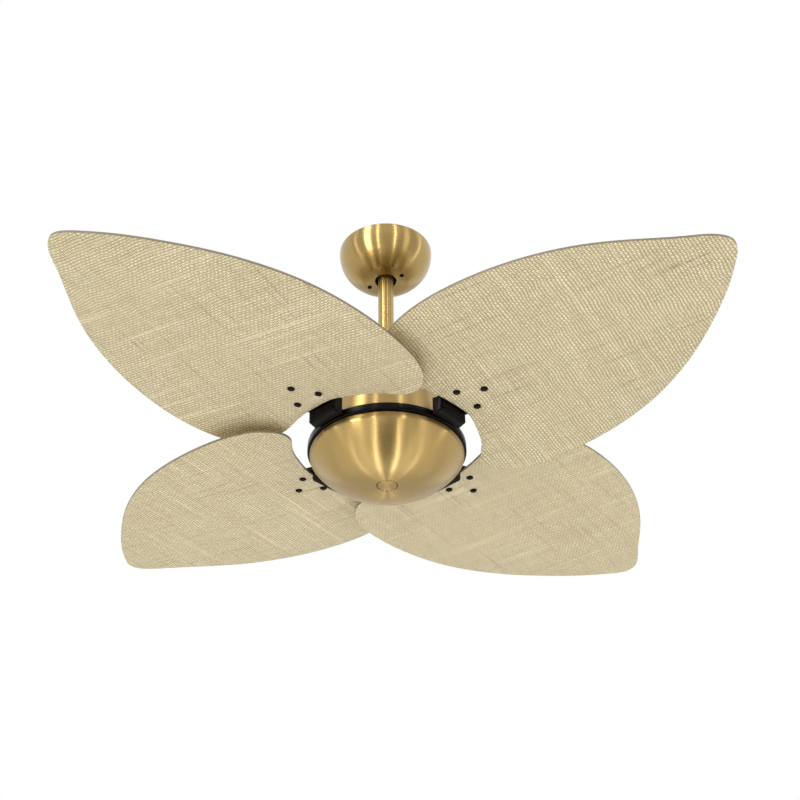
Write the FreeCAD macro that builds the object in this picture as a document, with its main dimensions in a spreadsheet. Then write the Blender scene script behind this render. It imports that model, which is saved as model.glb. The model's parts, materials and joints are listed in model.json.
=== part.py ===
import FreeCAD, Part
import math
import os
import re

import Sketcher

# Ceiling fan with four leaf shaped blades, hung from a bracket by a tube.
# Origin: centre of the bracket's top face, where it meets the ceiling. The fan hangs below it.
# Axes: +Z up, X along the line of the two ceiling screws. Millimetres and degrees.

os.makedirs("parts", exist_ok=True)
doc = FreeCAD.newDocument("ceiling_fan")
sheet = doc.addObject("Spreadsheet::Sheet", "Sizes")
Vector = FreeCAD.Vector
Rotation = FreeCAD.Rotation
Placement = FreeCAD.Placement

# Driving dimensions, one group for each sub-assembly.
SIZES = {
    # Layout of the whole fan
    "blade_plane_drop": 327,
    "blade_count": 4,
    "first_blade_azimuth": 45,
    "cone_angle": 3.2,
    "pitch_angle": 3.6,
    "cut_overrun": 5,
    "fixed_clearance": 0.02,
    "running_clearance": 0.05,
    "seat_gap": 0.3,
    "edge_tolerance": 0.01,
    # Ceiling bracket
    "plate_radius": 58,
    "steel_thickness": 2.5,
    "wire_hole_radius": 9,
    "ceiling_screw_spacing": 80,
    "ceiling_slot_length": 14,
    "ceiling_slot_radius": 3.25,
    "leg_azimuth": -30,
    "leg_hole_gap": 0.6,
    "leg_width": 26,
    "leg_shoulder_drop": 37,
    "foot_reach": 28.6,
    "foot_width": 13,
    "pivot_drop": 24,
    # Hanger bolt, its nut, split pin and rubber bushes
    "hanger_bolt_radius": 3,
    "bolt_head_across": 10,
    "bolt_head_height": 4,
    "nut_height": 5,
    "split_pin_radius": 0.8,
    "split_pin_length": 15,
    "split_pin_inset": 3.2,
    "bush_radius": 9.5,
    "bush_gap": 0.1,
    "pin_block_gap": 1.8,
    # Terminal block on one leg
    "block_length": 28,
    "block_depth": 9,
    "block_height": 11,
    "block_drop": 4.2,
    "terminal_pitch": 9,
    "terminal_radius": 2.2,
    "terminal_depth": 5,
    "terminal_screw_height": 2.5,
    "terminal_slot_width": 0.7,
    # Canopy and its two screws
    "canopy_radius": 64,
    "canopy_bowl_radius": 50,
    "canopy_lip": 3,
    "canopy_wall": 1.2,
    "canopy_ceiling_gap": 1,
    "canopy_base_radius": 31,
    "canopy_hole_radius": 14.9,
    "canopy_screw_place": 25.5,
    "canopy_screw_radius": 2,
    "canopy_screw_head_radius": 3,
    "canopy_screw_head_height": 1.8,
    "canopy_screw_length": 6.5,
    # Down rod
    "rod_radius": 10.65,
    "rod_wall": 2.5,
    "rod_top_drop": 14,
    # Rod coupling on the motor shaft
    "coupling_radius": 15,
    "coupling_base_rise": 42,
    "coupling_web_rise": 74,
    "coupling_web": 4,
    "coupling_top_rise": 112,
    "coupling_flange_radius": 30,
    "coupling_flange_thickness": 4,
    "coupling_wire_radius": 6,
    "coupling_bolt_rise": 97,
    "coupling_bolt_length": 39,
    "grub_screw_rise": 63,
    "grub_screw_radius": 2.5,
    "grub_screw_length": 6,
    "grub_socket_across": 2.5,
    "grub_socket_depth": 2.5,
    # Coupling cover
    "cover_radius": 29.5,
    "cover_height": 70,
    "cover_shoulder_radius": 17,
    "cover_wall": 1,
    "cover_rod_gap": 0.4,
    # Upper housing
    "housing_rim_inset": 4.5,
    "housing_rim_rise": 1.6,
    "housing_flare_angle": 10.5,
    "housing_waist_rise": 34,
    "housing_shoulder_radius": 27,
    "housing_wall": 1.2,
    "housing_hole_gap": 0.5,
    "housing_screw_circle": 23,
    "housing_screw_count": 3,
    "housing_screw_radius": 2,
    "housing_screw_head_radius": 3.5,
    "housing_screw_head_height": 2.4,
    "housing_screw_length": 5,
    # Motor shaft
    "shaft_radius": 8.5,
    "shaft_bore_radius": 5.5,
    "shaft_end_gap": 1.84,
    "lead_hole_radius": 1.45,
    # Stator
    "motor_centre_drop": 7,
    "stator_radius": 56,
    "stator_stack": 30,
    "stator_slot_count": 12,
    "slot_inner_inset": 29,
    "slot_outer_inset": 5,
    "slot_inner_half": 2.5,
    "slot_outer_half": 9,
    "slot_mouth_half": 1.5,
    "coil_inner_inset": 26.5,
    "coil_outer_inset": 6.5,
    "coil_thickness": 2.4,
    "coil_overhang": 9.5,
    "coil_tooth_gap": 0.2,
    "tooth_half": 4.5,
    # Rotor cage and the two shells
    "air_gap": 0.4,
    "cage_wall": 9.3,
    "cage_stack": 30,
    "shell_side": 4.3,
    "shell_half_height": 31,
    "shell_wall": 3.5,
    "shell_shoulder": 8,
    "shell_flange_reach": 10,
    "shell_flange_thickness": 3.5,
    "shell_boss_wall": 4.5,
    "shell_lip": 1,
    "shell_lip_inset": 4.2,
    "shell_vent_count": 8,
    "shell_vent_width": 7,
    "shell_vent_inset": 33.7,
    "shell_vent_length": 18,
    "shell_screw_inset": 4.5,
    "shell_screw_count": 6,
    "shell_screw_radius": 2,
    "shell_screw_head_radius": 3.5,
    "shell_screw_head_height": 2.4,
    "shell_screw_end": 0.4,
    # Ball bearings, 17 by 40 by 12
    "bearing_depth": 11.5,
    "bearing_width": 12,
    "bearing_inner_wall": 3.9,
    "bearing_outer_wall": 3.9,
    "ball_radius": 3.3,
    "ball_count": 7,
    # Rotor ring
    "ring_band": 21.5,
    "ring_floor_drop": 9.5,
    "ring_floor": 5,
    "ring_rim_wall": 3.6,
    "ring_rim_height": 10.4,
    "ring_bore_gap": 0.5,
    "ring_edge_radius": 1,
    "ring_notch_gap": 0.3,
    # Blade irons
    "iron_foot_gap": 2,
    "iron_foot_width": 35,
    "iron_foot_thickness": 5,
    "iron_block_gap": 0.5,
    "iron_block_depth": 15,
    "iron_block_width": 52,
    "iron_block_drop": 7.6,
    "iron_block_top": 14,
    "iron_block_end_width": 44,
    "iron_bevel": 2.5,
    "iron_palm_lap": 11,
    "iron_palm_round": 5,
    "iron_rib_width": 5,
    "iron_rib_height": 3.5,
    "iron_rib_length": 42,
    "iron_palm_thickness": 4.5,
    "iron_palm_margin": 9.5,
    "iron_screw_inset": 10.5,
    "iron_screw_spread": 22,
    "iron_screw_radius": 2.5,
    "iron_screw_head_radius": 4.2,
    "iron_screw_head_height": 2.8,
    # Blades
    "blade_tip_radius": 525,
    "blade_lead_width": 172,
    "blade_trail_width": 163,
    "blade_root_gap": 3.5,
    "blade_thickness": 3.2,
    "blade_screw_gap": 21.3,
    "blade_screw_spread": 37.5,
    "blade_screw_reach": 28.2,
    "blade_screw_radius": 2.5,
    "blade_screw_head_radius": 4.6,
    "blade_screw_head_height": 2.4,
    "blade_screw_end": 0.8,
    # Dome, its nut, spacer and centre cap
    "dome_inset": 3,
    "dome_rim_drop": 10.2,
    "dome_lip": 4,
    "dome_rim_round": 8,
    "dome_depth": 42.64,
    "dome_flat_margin": 7.6,
    "dome_wall": 1.3,
    "dome_recess_radius": 13.4,
    "dome_recess_depth": 10,
    "dome_nut_across": 21,
    "dome_nut_height": 5,
    "spacer_radius": 12,
    "plug_gap": 0.9,
    "plug_thickness": 2,
    "plug_skirt": 2.5,
    "plug_wall": 1.2,
    # Leads in the hollow shaft and the rod
    "lead_radius": 0.9,
    "lead_place": 4.3,
    "lead_turn": 75,
    "lead_bend_radius": 2,
    "lead_top_drop": 16,
}

# Sizes that follow from the driving ones, so that a change carries through the motor.
FOLLOWING = {
    "leg_inner_face": "canopy_hole_radius + leg_hole_gap",
    "hanger_bolt_length": "2 * (leg_inner_face + steel_thickness) + block_depth + split_pin_inset"
                          " + 4 * split_pin_radius + pin_block_gap",
    "cage_radius": "stator_radius + air_gap + cage_wall",
    "slot_inner_radius": "stator_radius - slot_inner_inset",
    "slot_outer_radius": "stator_radius - slot_outer_inset",
    "coil_inner_place": "stator_radius - coil_inner_inset",
    "coil_outer_place": "stator_radius - coil_outer_inset",
    "shell_radius": "cage_radius + shell_side",
    "shell_flange_radius": "shell_radius + shell_flange_reach",
    "shell_screw_circle": "shell_flange_radius - shell_screw_inset",
    "bearing_radius": "shaft_radius + bearing_depth",
    "bearing_inner_land": "shaft_radius + bearing_inner_wall",
    "bearing_outer_land": "bearing_radius - bearing_outer_wall",
    "bearing_pitch_radius": "(shaft_radius + bearing_radius) / 2",
    "shell_boss_radius": "bearing_radius + shell_boss_wall",
    "shell_lip_radius": "bearing_radius - shell_lip_inset",
    "shell_vent_inner": "cage_radius - shell_vent_inset",
    "shell_vent_outer": "shell_vent_inner + shell_vent_length",
    "ring_bore_radius": "cage_radius + ring_bore_gap",
    "ring_radius": "shell_flange_radius + ring_band",
    "housing_rim_radius": "ring_radius - housing_rim_inset",
    "dome_radius": "ring_radius - dome_inset",
    "dome_flat_radius": "dome_recess_radius + dome_flat_margin",
    "dome_span": "dome_radius - dome_rim_round - dome_flat_radius",
    "dome_fall": "dome_depth - dome_rim_round",
    "dome_arc_radius": "dome_rim_round + (dome_fall^2 + dome_span^2) / (2 * dome_fall)",
    "dome_rim_angle": "acos(dome_span / (dome_arc_radius - dome_rim_round))",
    "iron_foot_inner": "shell_flange_radius + iron_foot_gap",
    "iron_screw_place": "ring_radius - iron_screw_inset",
    "iron_block_inner": "ring_radius + iron_block_gap",
    "iron_block_outer": "iron_block_inner + iron_block_depth",
    "iron_palm_root": "iron_block_outer - iron_palm_lap",
    "blade_root_radius": "iron_block_outer + blade_root_gap",
    "blade_screw_inner": "iron_block_outer + blade_screw_gap",
    "blade_screw_outer": "blade_screw_inner + blade_screw_reach",
}

ALIASES = re.compile(r"\b(" + "|".join(sorted([*SIZES, *FOLLOWING], key=len, reverse=True)) + r")\b")


def fill_sheet():
    """Write each size with its alias: the driving ones as numbers, the others as formulas."""
    entries = [(alias, str(number)) for alias, number in SIZES.items()]
    entries += [(alias, "=" + formula) for alias, formula in FOLLOWING.items()]
    for row, (alias, content) in enumerate(entries, start=1):
        sheet.set("A%d" % row, alias)
        sheet.set("B%d" % row, content)
        sheet.setAlias("B%d" % row, alias)
        sheet.recompute()
    doc.recompute()


def bind(text):
    """Turn a sum of size names into an expression on the sheet."""
    return ALIASES.sub(r"Sizes.\1", text)


def value(text):
    """Work out a sum of size names as a number."""
    result = sheet.evalExpression(bind(text))
    return float(getattr(result, "Value", result))


def tie(thing, name, text):
    """Bind one property of an object to a sum of size names."""
    thing.setExpression(name, bind(text))


fill_sheet()
pieces = {}

# Heights and radii that several pieces share, as sums of the driving dimensions.
# Those of the motor and the blades are counted from the blade plane's centre on the axis.
BLADE_PLANE = "(-blade_plane_drop)"
LEG_OUTER_FACE = "(leg_inner_face + steel_thickness)"
CANOPY_RIM = "(-canopy_ceiling_gap)"
CANOPY_LIP_END = "(-canopy_ceiling_gap - canopy_lip)"
CANOPY_BOWL_CENTRE = "(canopy_radius - canopy_bowl_radius)"
CANOPY_BOWL_DEPTH = "sqrt(canopy_bowl_radius^2 - (canopy_base_radius - canopy_radius + canopy_bowl_radius)^2)"
CANOPY_BASE = "(%s - %s)" % (CANOPY_LIP_END, CANOPY_BOWL_DEPTH)
CANOPY_FLOOR = "(%s + canopy_wall)" % CANOPY_BASE
CANOPY_FLOOR_RADIUS = "(%s + sqrt((canopy_bowl_radius - canopy_wall)^2 - (%s - canopy_wall)^2))" % (
    CANOPY_BOWL_CENTRE, CANOPY_BOWL_DEPTH)
RING_UNDERSIDE = "(-ring_floor_drop)"
RING_FLOOR_TOP = "(ring_floor - ring_floor_drop)"
RING_RIM_TOP = "(ring_rim_height - ring_floor_drop)"
SHELL_TOP = "(shell_half_height - motor_centre_drop)"
SHELL_BOTTOM = "(-shell_half_height - motor_centre_drop)"
UPPER_BEARING = "(shell_half_height - motor_centre_drop - shell_lip - bearing_width)"
LOWER_BEARING = "(shell_lip - shell_half_height - motor_centre_drop)"
STATOR_TOP = "(stator_stack / 2 - motor_centre_drop)"
STATOR_BOTTOM = "(-stator_stack / 2 - motor_centre_drop)"
ROD_BOTTOM = "(coupling_web_rise + coupling_web)"
HOUSING_WAIST_RADIUS = "(housing_rim_radius - (housing_waist_rise - housing_rim_rise) * tan(housing_flare_angle))"
HOUSING_TOP = "(housing_waist_rise + housing_shoulder_radius * (1 - sin(housing_flare_angle)))"
HOUSING_TOP_RADIUS = "(%s - housing_shoulder_radius * cos(housing_flare_angle))" % HOUSING_WAIST_RADIUS
HOUSING_SEAT = "(%s - housing_wall)" % HOUSING_TOP
DOME_LIP_END = "(-dome_rim_drop - dome_lip)"
DOME_BASE = "(%s - dome_depth)" % DOME_LIP_END
RECESS_FLOOR = "(%s + dome_recess_depth)" % DOME_BASE
SHAFT_END = "(%s + plug_thickness + shaft_end_gap)" % DOME_BASE


def keep(thing, label):
    """Register an object as one piece of the fan."""
    thing.Label = label
    pieces[label] = thing
    return thing


def new_body(label, lift="0", turn="0"):
    """Start a body whose own plane lies at a height and at an azimuth."""
    body = doc.addObject("PartDesign::Body", label)
    body.Placement = Placement(Vector(0, 0, value(lift)), Rotation(Vector(0, 0, 1), value(turn)))
    tie(body, "Placement.Base.z", lift)
    return keep(body, label)


def new_sketch(body, name, plane="XY_Plane", height=None, tilt=None):
    """Attach a sketch to a plane of its body, at a height along the plane's normal."""
    sketch = body.newObject("Sketcher::SketchObject", body.Name + "_" + name)
    origin_plane = [f for f in body.Origin.OriginFeatures if f.Role == plane][0]
    sketch.AttachmentSupport = [(origin_plane, "")]
    sketch.MapMode = "FlatFace"
    if height is not None:
        turn = tilt if tilt is not None else Rotation()
        sketch.AttachmentOffset = Placement(turn.multVec(Vector(0, 0, value(height))), turn)
        if tilt is None:
            tie(sketch, "AttachmentOffset.Base.z", height)
    return sketch


def place_point(sketch, geometry, which, across, up):
    """Pin one point of a sketch to sums of size names."""
    for kind, axis, text in (("DistanceX", -2, across), ("DistanceY", -1, up)):
        if text == "0":
            sketch.addConstraint(Sketcher.Constraint("PointOnObject", geometry, which, axis))
            continue
        number = value(text)
        index = sketch.addConstraint(Sketcher.Constraint(kind, -1, 1, geometry, which, number))
        tie(sketch, "Constraints[%d]" % index, text)


def draw_outline(sketch, corners):
    """Draw a closed outline of straight runs and arcs.

    A corner is (across, up) or (across, up, radius), where the radius bends the run that
    leaves the corner: above zero it turns left of the run, below zero right of it.
    """
    places = [Vector(value(c[0]), value(c[1]), 0) for c in corners]
    count = len(corners)
    ends = []
    for index, corner in enumerate(corners):
        start, end = places[index], places[(index + 1) % count]
        if len(corner) == 2:
            geometry = sketch.addGeometry(Part.LineSegment(start, end), False)
            ends.append((geometry, 1, 2))
            continue
        radius = value(corner[2])
        chord = end - start
        rise = math.sqrt(max(radius * radius - chord.Length * chord.Length / 4, 0))
        left = Vector(-chord.y, chord.x, 0).normalize()
        side = 1 if radius > 0 else -1
        centre = (start + end) * 0.5 + left * (side * rise)
        first, last = (start, end) if radius > 0 else (end, start)
        low = math.atan2(first.y - centre.y, first.x - centre.x)
        high = math.atan2(last.y - centre.y, last.x - centre.x)
        if high <= low:
            high += 2 * math.pi
        circle = Part.Circle(centre, Vector(0, 0, 1), abs(radius))
        geometry = sketch.addGeometry(Part.ArcOfCircle(circle, low, high), False)
        ends.append((geometry, 1, 2) if radius > 0 else (geometry, 2, 1))
        if rise < value("edge_tolerance"):
            sketch.addConstraint(Sketcher.Constraint("Symmetric", geometry, 1, geometry, 2, geometry, 3))
            continue
        constraint = sketch.addConstraint(Sketcher.Constraint("Radius", geometry, abs(radius)))
        tie(sketch, "Constraints[%d]" % constraint, "abs(%s)" % corner[2])
    for index, corner in enumerate(corners):
        before, here = ends[index - 1], ends[index]
        sketch.addConstraint(Sketcher.Constraint("Coincident", before[0], before[2], here[0], here[1]))
        place_point(sketch, here[0], here[1], corner[0], corner[1])


def draw_circle(sketch, radius, across="0", up="0"):
    """Draw a circle at a point given in sums of size names."""
    centre = Vector(value(across), value(up), 0)
    circle = Part.Circle(centre, Vector(0, 0, 1), value(radius))
    geometry = sketch.addGeometry(circle, False)
    index = sketch.addConstraint(Sketcher.Constraint("Radius", geometry, value(radius)))
    tie(sketch, "Constraints[%d]" % index, radius)
    place_point(sketch, geometry, 3, across, up)


def turned(body, name, corners):
    """Revolve an outline, drawn across and up, about the body's upright axis."""
    sketch = new_sketch(body, name + "_profile", "XZ_Plane")
    draw_outline(sketch, corners)
    feature = body.newObject("PartDesign::Revolution", body.Name + "_" + name)
    feature.Profile = sketch
    feature.ReferenceAxis = (sketch, ["V_Axis"])
    feature.Angle = 360
    body.Tip = feature
    doc.recompute()
    return feature


def padded(body, name, corners, height, thickness, tilt=None):
    """Raise an outline by a thickness from a height."""
    sketch = new_sketch(body, name + "_outline", "XY_Plane", height, tilt)
    draw_outline(sketch, corners)
    feature = body.newObject("PartDesign::Pad", body.Name + "_" + name)
    feature.Profile = sketch
    tie(feature, "Length", thickness)
    body.Tip = feature
    doc.recompute()
    return feature


def drilled(body, name, places, radius, height="0", tilt=None):
    """Cut round holes right through, each at a place in the plane."""
    sketch = new_sketch(body, name + "_holes", "XY_Plane", height, tilt)
    for across, up in places:
        draw_circle(sketch, radius, across, up)
    return cut_through(body, name, sketch)


def cut_through(body, name, sketch):
    """Cut a sketch through the whole body, both ways."""
    before = body.Tip.Shape.Volume
    feature = body.newObject("PartDesign::Pocket", body.Name + "_" + name)
    feature.Profile = sketch
    feature.Type = "ThroughAll"
    feature.Midplane = True
    body.Tip = feature
    doc.recompute()
    if not feature.Shape.Volume < before:
        raise ValueError("%s cuts nothing in %s" % (name, body.Label))
    return feature


def around(body, feature, count):
    """Repeat a feature about the body's upright axis."""
    pattern = body.newObject("PartDesign::PolarPattern", feature.Name + "_pattern")
    pattern.Originals = [feature]
    pattern.Axis = ([f for f in body.Origin.OriginFeatures if f.Role == "Z_Axis"][0], [""])
    pattern.Angle = 360
    tie(pattern, "Occurrences", count)
    body.Tip = pattern
    doc.recompute()
    return pattern


def edges_where(body, test):
    """Names of the edges of a body whose middle point passes a test, in the body's own frame."""
    names = []
    shape = body.Tip.Shape
    for index, edge in enumerate(shape.Edges, start=1):
        first, last = edge.ParameterRange
        middle = edge.valueAt((first + last) / 2)
        if test(edge, middle):
            names.append("Edge%d" % index)
    return names


def dressed(body, name, kind, amount, test):
    """Round or bevel the edges that pass a test."""
    base = body.Tip
    names = edges_where(body, test)
    if not names:
        raise ValueError("%s finds no edge on %s" % (name, body.Label))
    feature = body.newObject("PartDesign::" + kind, body.Name + "_" + name)
    feature.Base = (base, names)
    tie(feature, "Radius" if kind == "Fillet" else "Size", amount)
    body.Tip = feature
    doc.recompute()
    return feature


def ring_edge(radius, height):
    """Test for the full circles at a radius and height, given as sums of size names."""
    far, level, near = value(radius), value(height), value("edge_tolerance")

    def test(edge, middle):
        return abs(math.hypot(middle.x, middle.y) - far) < near and abs(middle.z - level) < near
    return test


def primitive(kind, name, sizes, base=("0", "0", "0"), turn=None):
    """Add a Part primitive with bound sizes and place."""
    thing = doc.addObject("Part::" + kind, name)
    for key, text in sizes.items():
        tie(thing, key, text)
    spin = turn if turn is not None else Rotation()
    thing.Placement = Placement(Vector(*[value(b) for b in base]), spin)
    for axis, text in zip("xyz", base):
        tie(thing, "Placement.Base." + axis, text)
    return thing


def boolean(kind, name, base, tool):
    """Cut or join two objects."""
    thing = doc.addObject("Part::" + kind, name)
    thing.Base = base
    thing.Tool = tool
    doc.recompute()
    return thing


def built(label, shape):
    """Keep a shape that Part's own functions make from sizes on the sheet."""
    thing = doc.addObject("Part::Feature", label)
    thing.Shape = shape
    return keep(thing, label)


CROWN_SHARE = 0.4
FLAT_SHARE = 0.55


def pan_screw(head_radius, head_height, radius, length):
    """A pan head screw on the Z axis: the head's seat at zero, the shank upwards."""
    crown = head_height * CROWN_SHARE
    flat = head_radius * FLAT_SHARE
    outline = [
        Part.makeLine(Vector(0, 0, -head_height), Vector(flat, 0, -head_height)),
        Part.makeLine(Vector(flat, 0, -head_height), Vector(head_radius, 0, -crown)),
        Part.makeLine(Vector(head_radius, 0, -crown), Vector(head_radius, 0, 0)),
        Part.makeLine(Vector(head_radius, 0, 0), Vector(radius, 0, 0)),
        Part.makeLine(Vector(radius, 0, 0), Vector(radius, 0, length)),
        Part.makeLine(Vector(radius, 0, length), Vector(0, 0, length)),
        Part.makeLine(Vector(0, 0, length), Vector(0, 0, -head_height)),
    ]
    return Part.Face(Part.Wire(outline)).revolve(Vector(), Vector(0, 0, 1), 360)


def hexagon(across, height):
    """A hexagonal prism on the Z axis, standing on zero."""
    corner = across / math.sqrt(3)
    points = [Vector(corner * math.cos(a), corner * math.sin(a), 0)
              for a in [math.radians(60 * i) for i in range(7)]]
    return Part.Face(Part.makePolygon(points)).extrude(Vector(0, 0, height))


def copies(shape, placements):
    """A group of separate solids, one for each placement."""
    group = []
    for placement in placements:
        item = shape.copy()
        item.Placement = placement.multiply(item.Placement)
        group.append(item)
    return Part.makeCompound(group)


def circle_places(count, radius, height, start=0):
    """Placements spaced evenly about the Z axis."""
    result = []
    for index in range(int(count)):
        angle = start + 360.0 * index / count
        turn = Rotation(Vector(0, 0, 1), angle)
        result.append(Placement(turn.multVec(Vector(radius, 0, 0)) + Vector(0, 0, height), turn))
    return result


# The blade plane leans up along the blade and down across it.
BLADE_TILT = Rotation(Vector(0, 1, 0), -value("cone_angle")).multiply(
    Rotation(Vector(1, 0, 0), -value("pitch_angle")))
ALONG_X = Rotation(Vector(0, 1, 0), 90)
LEG_TURN = Rotation(Vector(0, 0, 1), value("leg_azimuth"))


def blade_azimuths():
    """Azimuth of each blade and its iron."""
    count = int(value("blade_count"))
    return [value("first_blade_azimuth") + 360.0 * i / count for i in range(count)]


def make_ceiling_bracket():
    """Steel bracket: round slotted plate, two legs and two feet that carry the canopy."""
    body = new_body("ceiling_bracket")
    disc = new_sketch(body, "disc_outline", "XY_Plane", "-steel_thickness")
    draw_circle(disc, "plate_radius")
    feature = body.newObject("PartDesign::Pad", "ceiling_bracket_disc")
    feature.Profile = disc
    tie(feature, "Length", "steel_thickness")
    body.Tip = feature
    doc.recompute()
    slots = new_sketch(body, "slots", "XY_Plane", "0")
    place = "ceiling_screw_spacing / 2"
    reach = "(ceiling_slot_length / 2 - ceiling_slot_radius)"
    for sign in ("", "-"):
        low = "%s(%s) - %s" % (sign, place, reach)
        high = "%s(%s) + %s" % (sign, place, reach)
        draw_outline(slots, [
            (low, "-ceiling_slot_radius"),
            (high, "-ceiling_slot_radius", "ceiling_slot_radius"),
            (high, "ceiling_slot_radius"),
            (low, "ceiling_slot_radius", "ceiling_slot_radius"),
        ])
    cut_through(body, "slots", slots)
    drilled(body, "wire_hole", [("0", "0")], "wire_hole_radius")
    for name, sign in (("right", ""), ("left", "-")):
        inner = sign + "leg_inner_face"
        outer = sign + LEG_OUTER_FACE
        toe = sign + "foot_reach"
        for part, width, low, high in (
                ("leg", "leg_width / 2", "(-leg_shoulder_drop)", "(-steel_thickness)"),
                ("shin", "foot_width / 2", CANOPY_FLOOR, "(-leg_shoulder_drop)")):
            box = [(inner, "-" + width), (outer, "-" + width), (outer, width), (inner, width)]
            padded(body, name + "_" + part, box, low, "%s - %s" % (high, low), LEG_TURN)
        half_foot = "foot_width / 2"
        sole = [(inner, "-" + half_foot), (toe, "-" + half_foot), (toe, half_foot), (inner, half_foot)]
        padded(body, name + "_foot", sole, CANOPY_FLOOR, "steel_thickness", LEG_TURN)
    drilled(body, "canopy_screw", [("canopy_screw_place", "0"), ("-canopy_screw_place", "0")],
            "canopy_screw_radius + running_clearance", "0", LEG_TURN)
    across = LEG_TURN.multiply(ALONG_X)
    drilled(body, "hanger_bolt", [("pivot_drop", "0")], "hanger_bolt_radius + running_clearance", "0", across)


def hex_bolt(label, length, seat, height, turn, lift="0"):
    """Hexagon bolt lying across the rod, its head's seat on the far side of what it clamps."""
    head = primitive("Prism", label + "_head", {"Circumradius": "bolt_head_across / sqrt(3)",
                                                "Height": "bolt_head_height"},
                     ("-%s - bolt_head_height" % seat, "0", height), ALONG_X)
    head.Polygon = 6
    shank = primitive("Cylinder", label + "_shank", {"Radius": "hanger_bolt_radius", "Height": length},
                      ("-" + seat, "0", height), ALONG_X)
    bolt = boolean("Fuse", label + "_blank", head, shank)
    hole = primitive("Cylinder", label + "_pin_hole", {
        "Radius": "split_pin_radius + fixed_clearance", "Height": "2 * bolt_head_across"},
        ("%s - %s - split_pin_inset" % (length, seat), "0", "%s - bolt_head_across" % height))
    drilled_bolt = boolean("Cut", label, bolt, hole)
    drilled_bolt.Placement = Placement(Vector(0, 0, value(lift)), turn)
    tie(drilled_bolt, "Placement.Base.z", lift)
    return keep(drilled_bolt, label)


def hex_nut(label, seat, height, turn, lift="0"):
    """Hexagon nut on such a bolt."""
    blank = primitive("Prism", label + "_blank", {"Circumradius": "bolt_head_across / sqrt(3)",
                                                  "Height": "nut_height"}, (seat, "0", height), ALONG_X)
    blank.Polygon = 6
    hole = primitive("Cylinder", label + "_hole", {
        "Radius": "hanger_bolt_radius + fixed_clearance", "Height": "nut_height + 2 * cut_overrun"},
        (seat + " - cut_overrun", "0", height), ALONG_X)
    nut = boolean("Cut", label, blank, hole)
    nut.Placement = Placement(Vector(0, 0, value(lift)), turn)
    tie(nut, "Placement.Base.z", lift)
    return keep(nut, label)


def split_pin(label, length, seat, height, turn, lift="0"):
    """Pin with an eye through the end of such a bolt."""
    place = "%s - %s - split_pin_inset" % (length, seat)
    stem = primitive("Cylinder", label + "_stem", {"Radius": "split_pin_radius", "Height": "split_pin_length"},
                     (place, "0", "%s - split_pin_length / 2" % height))
    eye = primitive("Torus", label + "_eye", {"Radius1": "3 * split_pin_radius", "Radius2": "split_pin_radius"},
                    (place, "0", "%s + split_pin_length / 2 + 2 * split_pin_radius" % height),
                    Rotation(Vector(1, 0, 0), 90))
    pin = boolean("Fuse", label, stem, eye)
    pin.Placement = Placement(Vector(0, 0, value(lift)), turn)
    tie(pin, "Placement.Base.z", lift)
    return keep(pin, label)


def make_hanger():
    """Bolt that carries the rod in the bracket, with its nut, pin and two rubber bushes."""
    height = "(-pivot_drop)"
    hex_bolt("hanger_bolt", "hanger_bolt_length", LEG_OUTER_FACE, height, LEG_TURN)
    hex_nut("hanger_nut", LEG_OUTER_FACE, height, LEG_TURN)
    split_pin("hanger_split_pin", "hanger_bolt_length", LEG_OUTER_FACE, height, LEG_TURN)
    bushes = []
    depth = "leg_inner_face - rod_radius - 2 * bush_gap"
    for name, start in (("right", "rod_radius + bush_gap"), ("left", "bush_gap - leg_inner_face")):
        disc = primitive("Cylinder", "bush_disc_" + name, {"Radius": "bush_radius", "Height": depth},
                         (start, "0", height), ALONG_X)
        hole = primitive("Cylinder", "bush_hole_" + name, {
            "Radius": "hanger_bolt_radius + running_clearance", "Height": depth + " + 2 * cut_overrun"},
            (start + " - cut_overrun", "0", height), ALONG_X)
        bushes.append(boolean("Cut", "bush_" + name, disc, hole))
    group = doc.addObject("Part::Compound", "hanger_bushes")
    group.Links = bushes
    group.Placement = Placement(Vector(), LEG_TURN)
    keep(group, "hanger_bushes")


def make_terminal_block():
    """Block with three brass screws, held on the outer face of one leg."""
    body = new_body("terminal_block")
    near = LEG_OUTER_FACE
    far = "(%s + block_depth)" % LEG_OUTER_FACE
    low = "(-block_drop - block_height)"
    outline = [(near, "-block_length / 2"), (far, "-block_length / 2"),
               (far, "block_length / 2"), (near, "block_length / 2")]
    padded(body, "blank", outline, low, "block_height", LEG_TURN)
    across = LEG_TURN.multiply(ALONG_X)
    middle = "(block_drop + block_height / 2)"
    sketch = new_sketch(body, "screw_wells", "XY_Plane", "leg_inner_face + steel_thickness + block_depth", across)
    spots = [(middle, "terminal_pitch * (%d)" % step) for step in (-1, 0, 1)]
    for spot in spots:
        draw_circle(sketch, "terminal_radius + running_clearance", *spot)
    wells = body.newObject("PartDesign::Pocket", "terminal_block_wells")
    wells.Profile = sketch
    tie(wells, "Length", "terminal_depth")
    body.Tip = wells
    doc.recompute()
    radius = value("terminal_radius")
    screw = Part.makeCylinder(radius, value("terminal_screw_height"))
    slot_width = value("terminal_slot_width")
    slot = Part.makeBox(4 * radius, slot_width, slot_width)
    slot.translate(Vector(-2 * radius, -slot_width / 2, value("terminal_screw_height") - slot_width))
    screw = screw.cut(slot)
    floor = value("leg_inner_face + steel_thickness + block_depth - terminal_depth")
    places = []
    for spot in spots:
        local = Vector(value(spot[0]), value(spot[1]), floor)
        places.append(Placement(across.multVec(local), across))
    built("terminal_screws", copies(screw, places))


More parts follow.
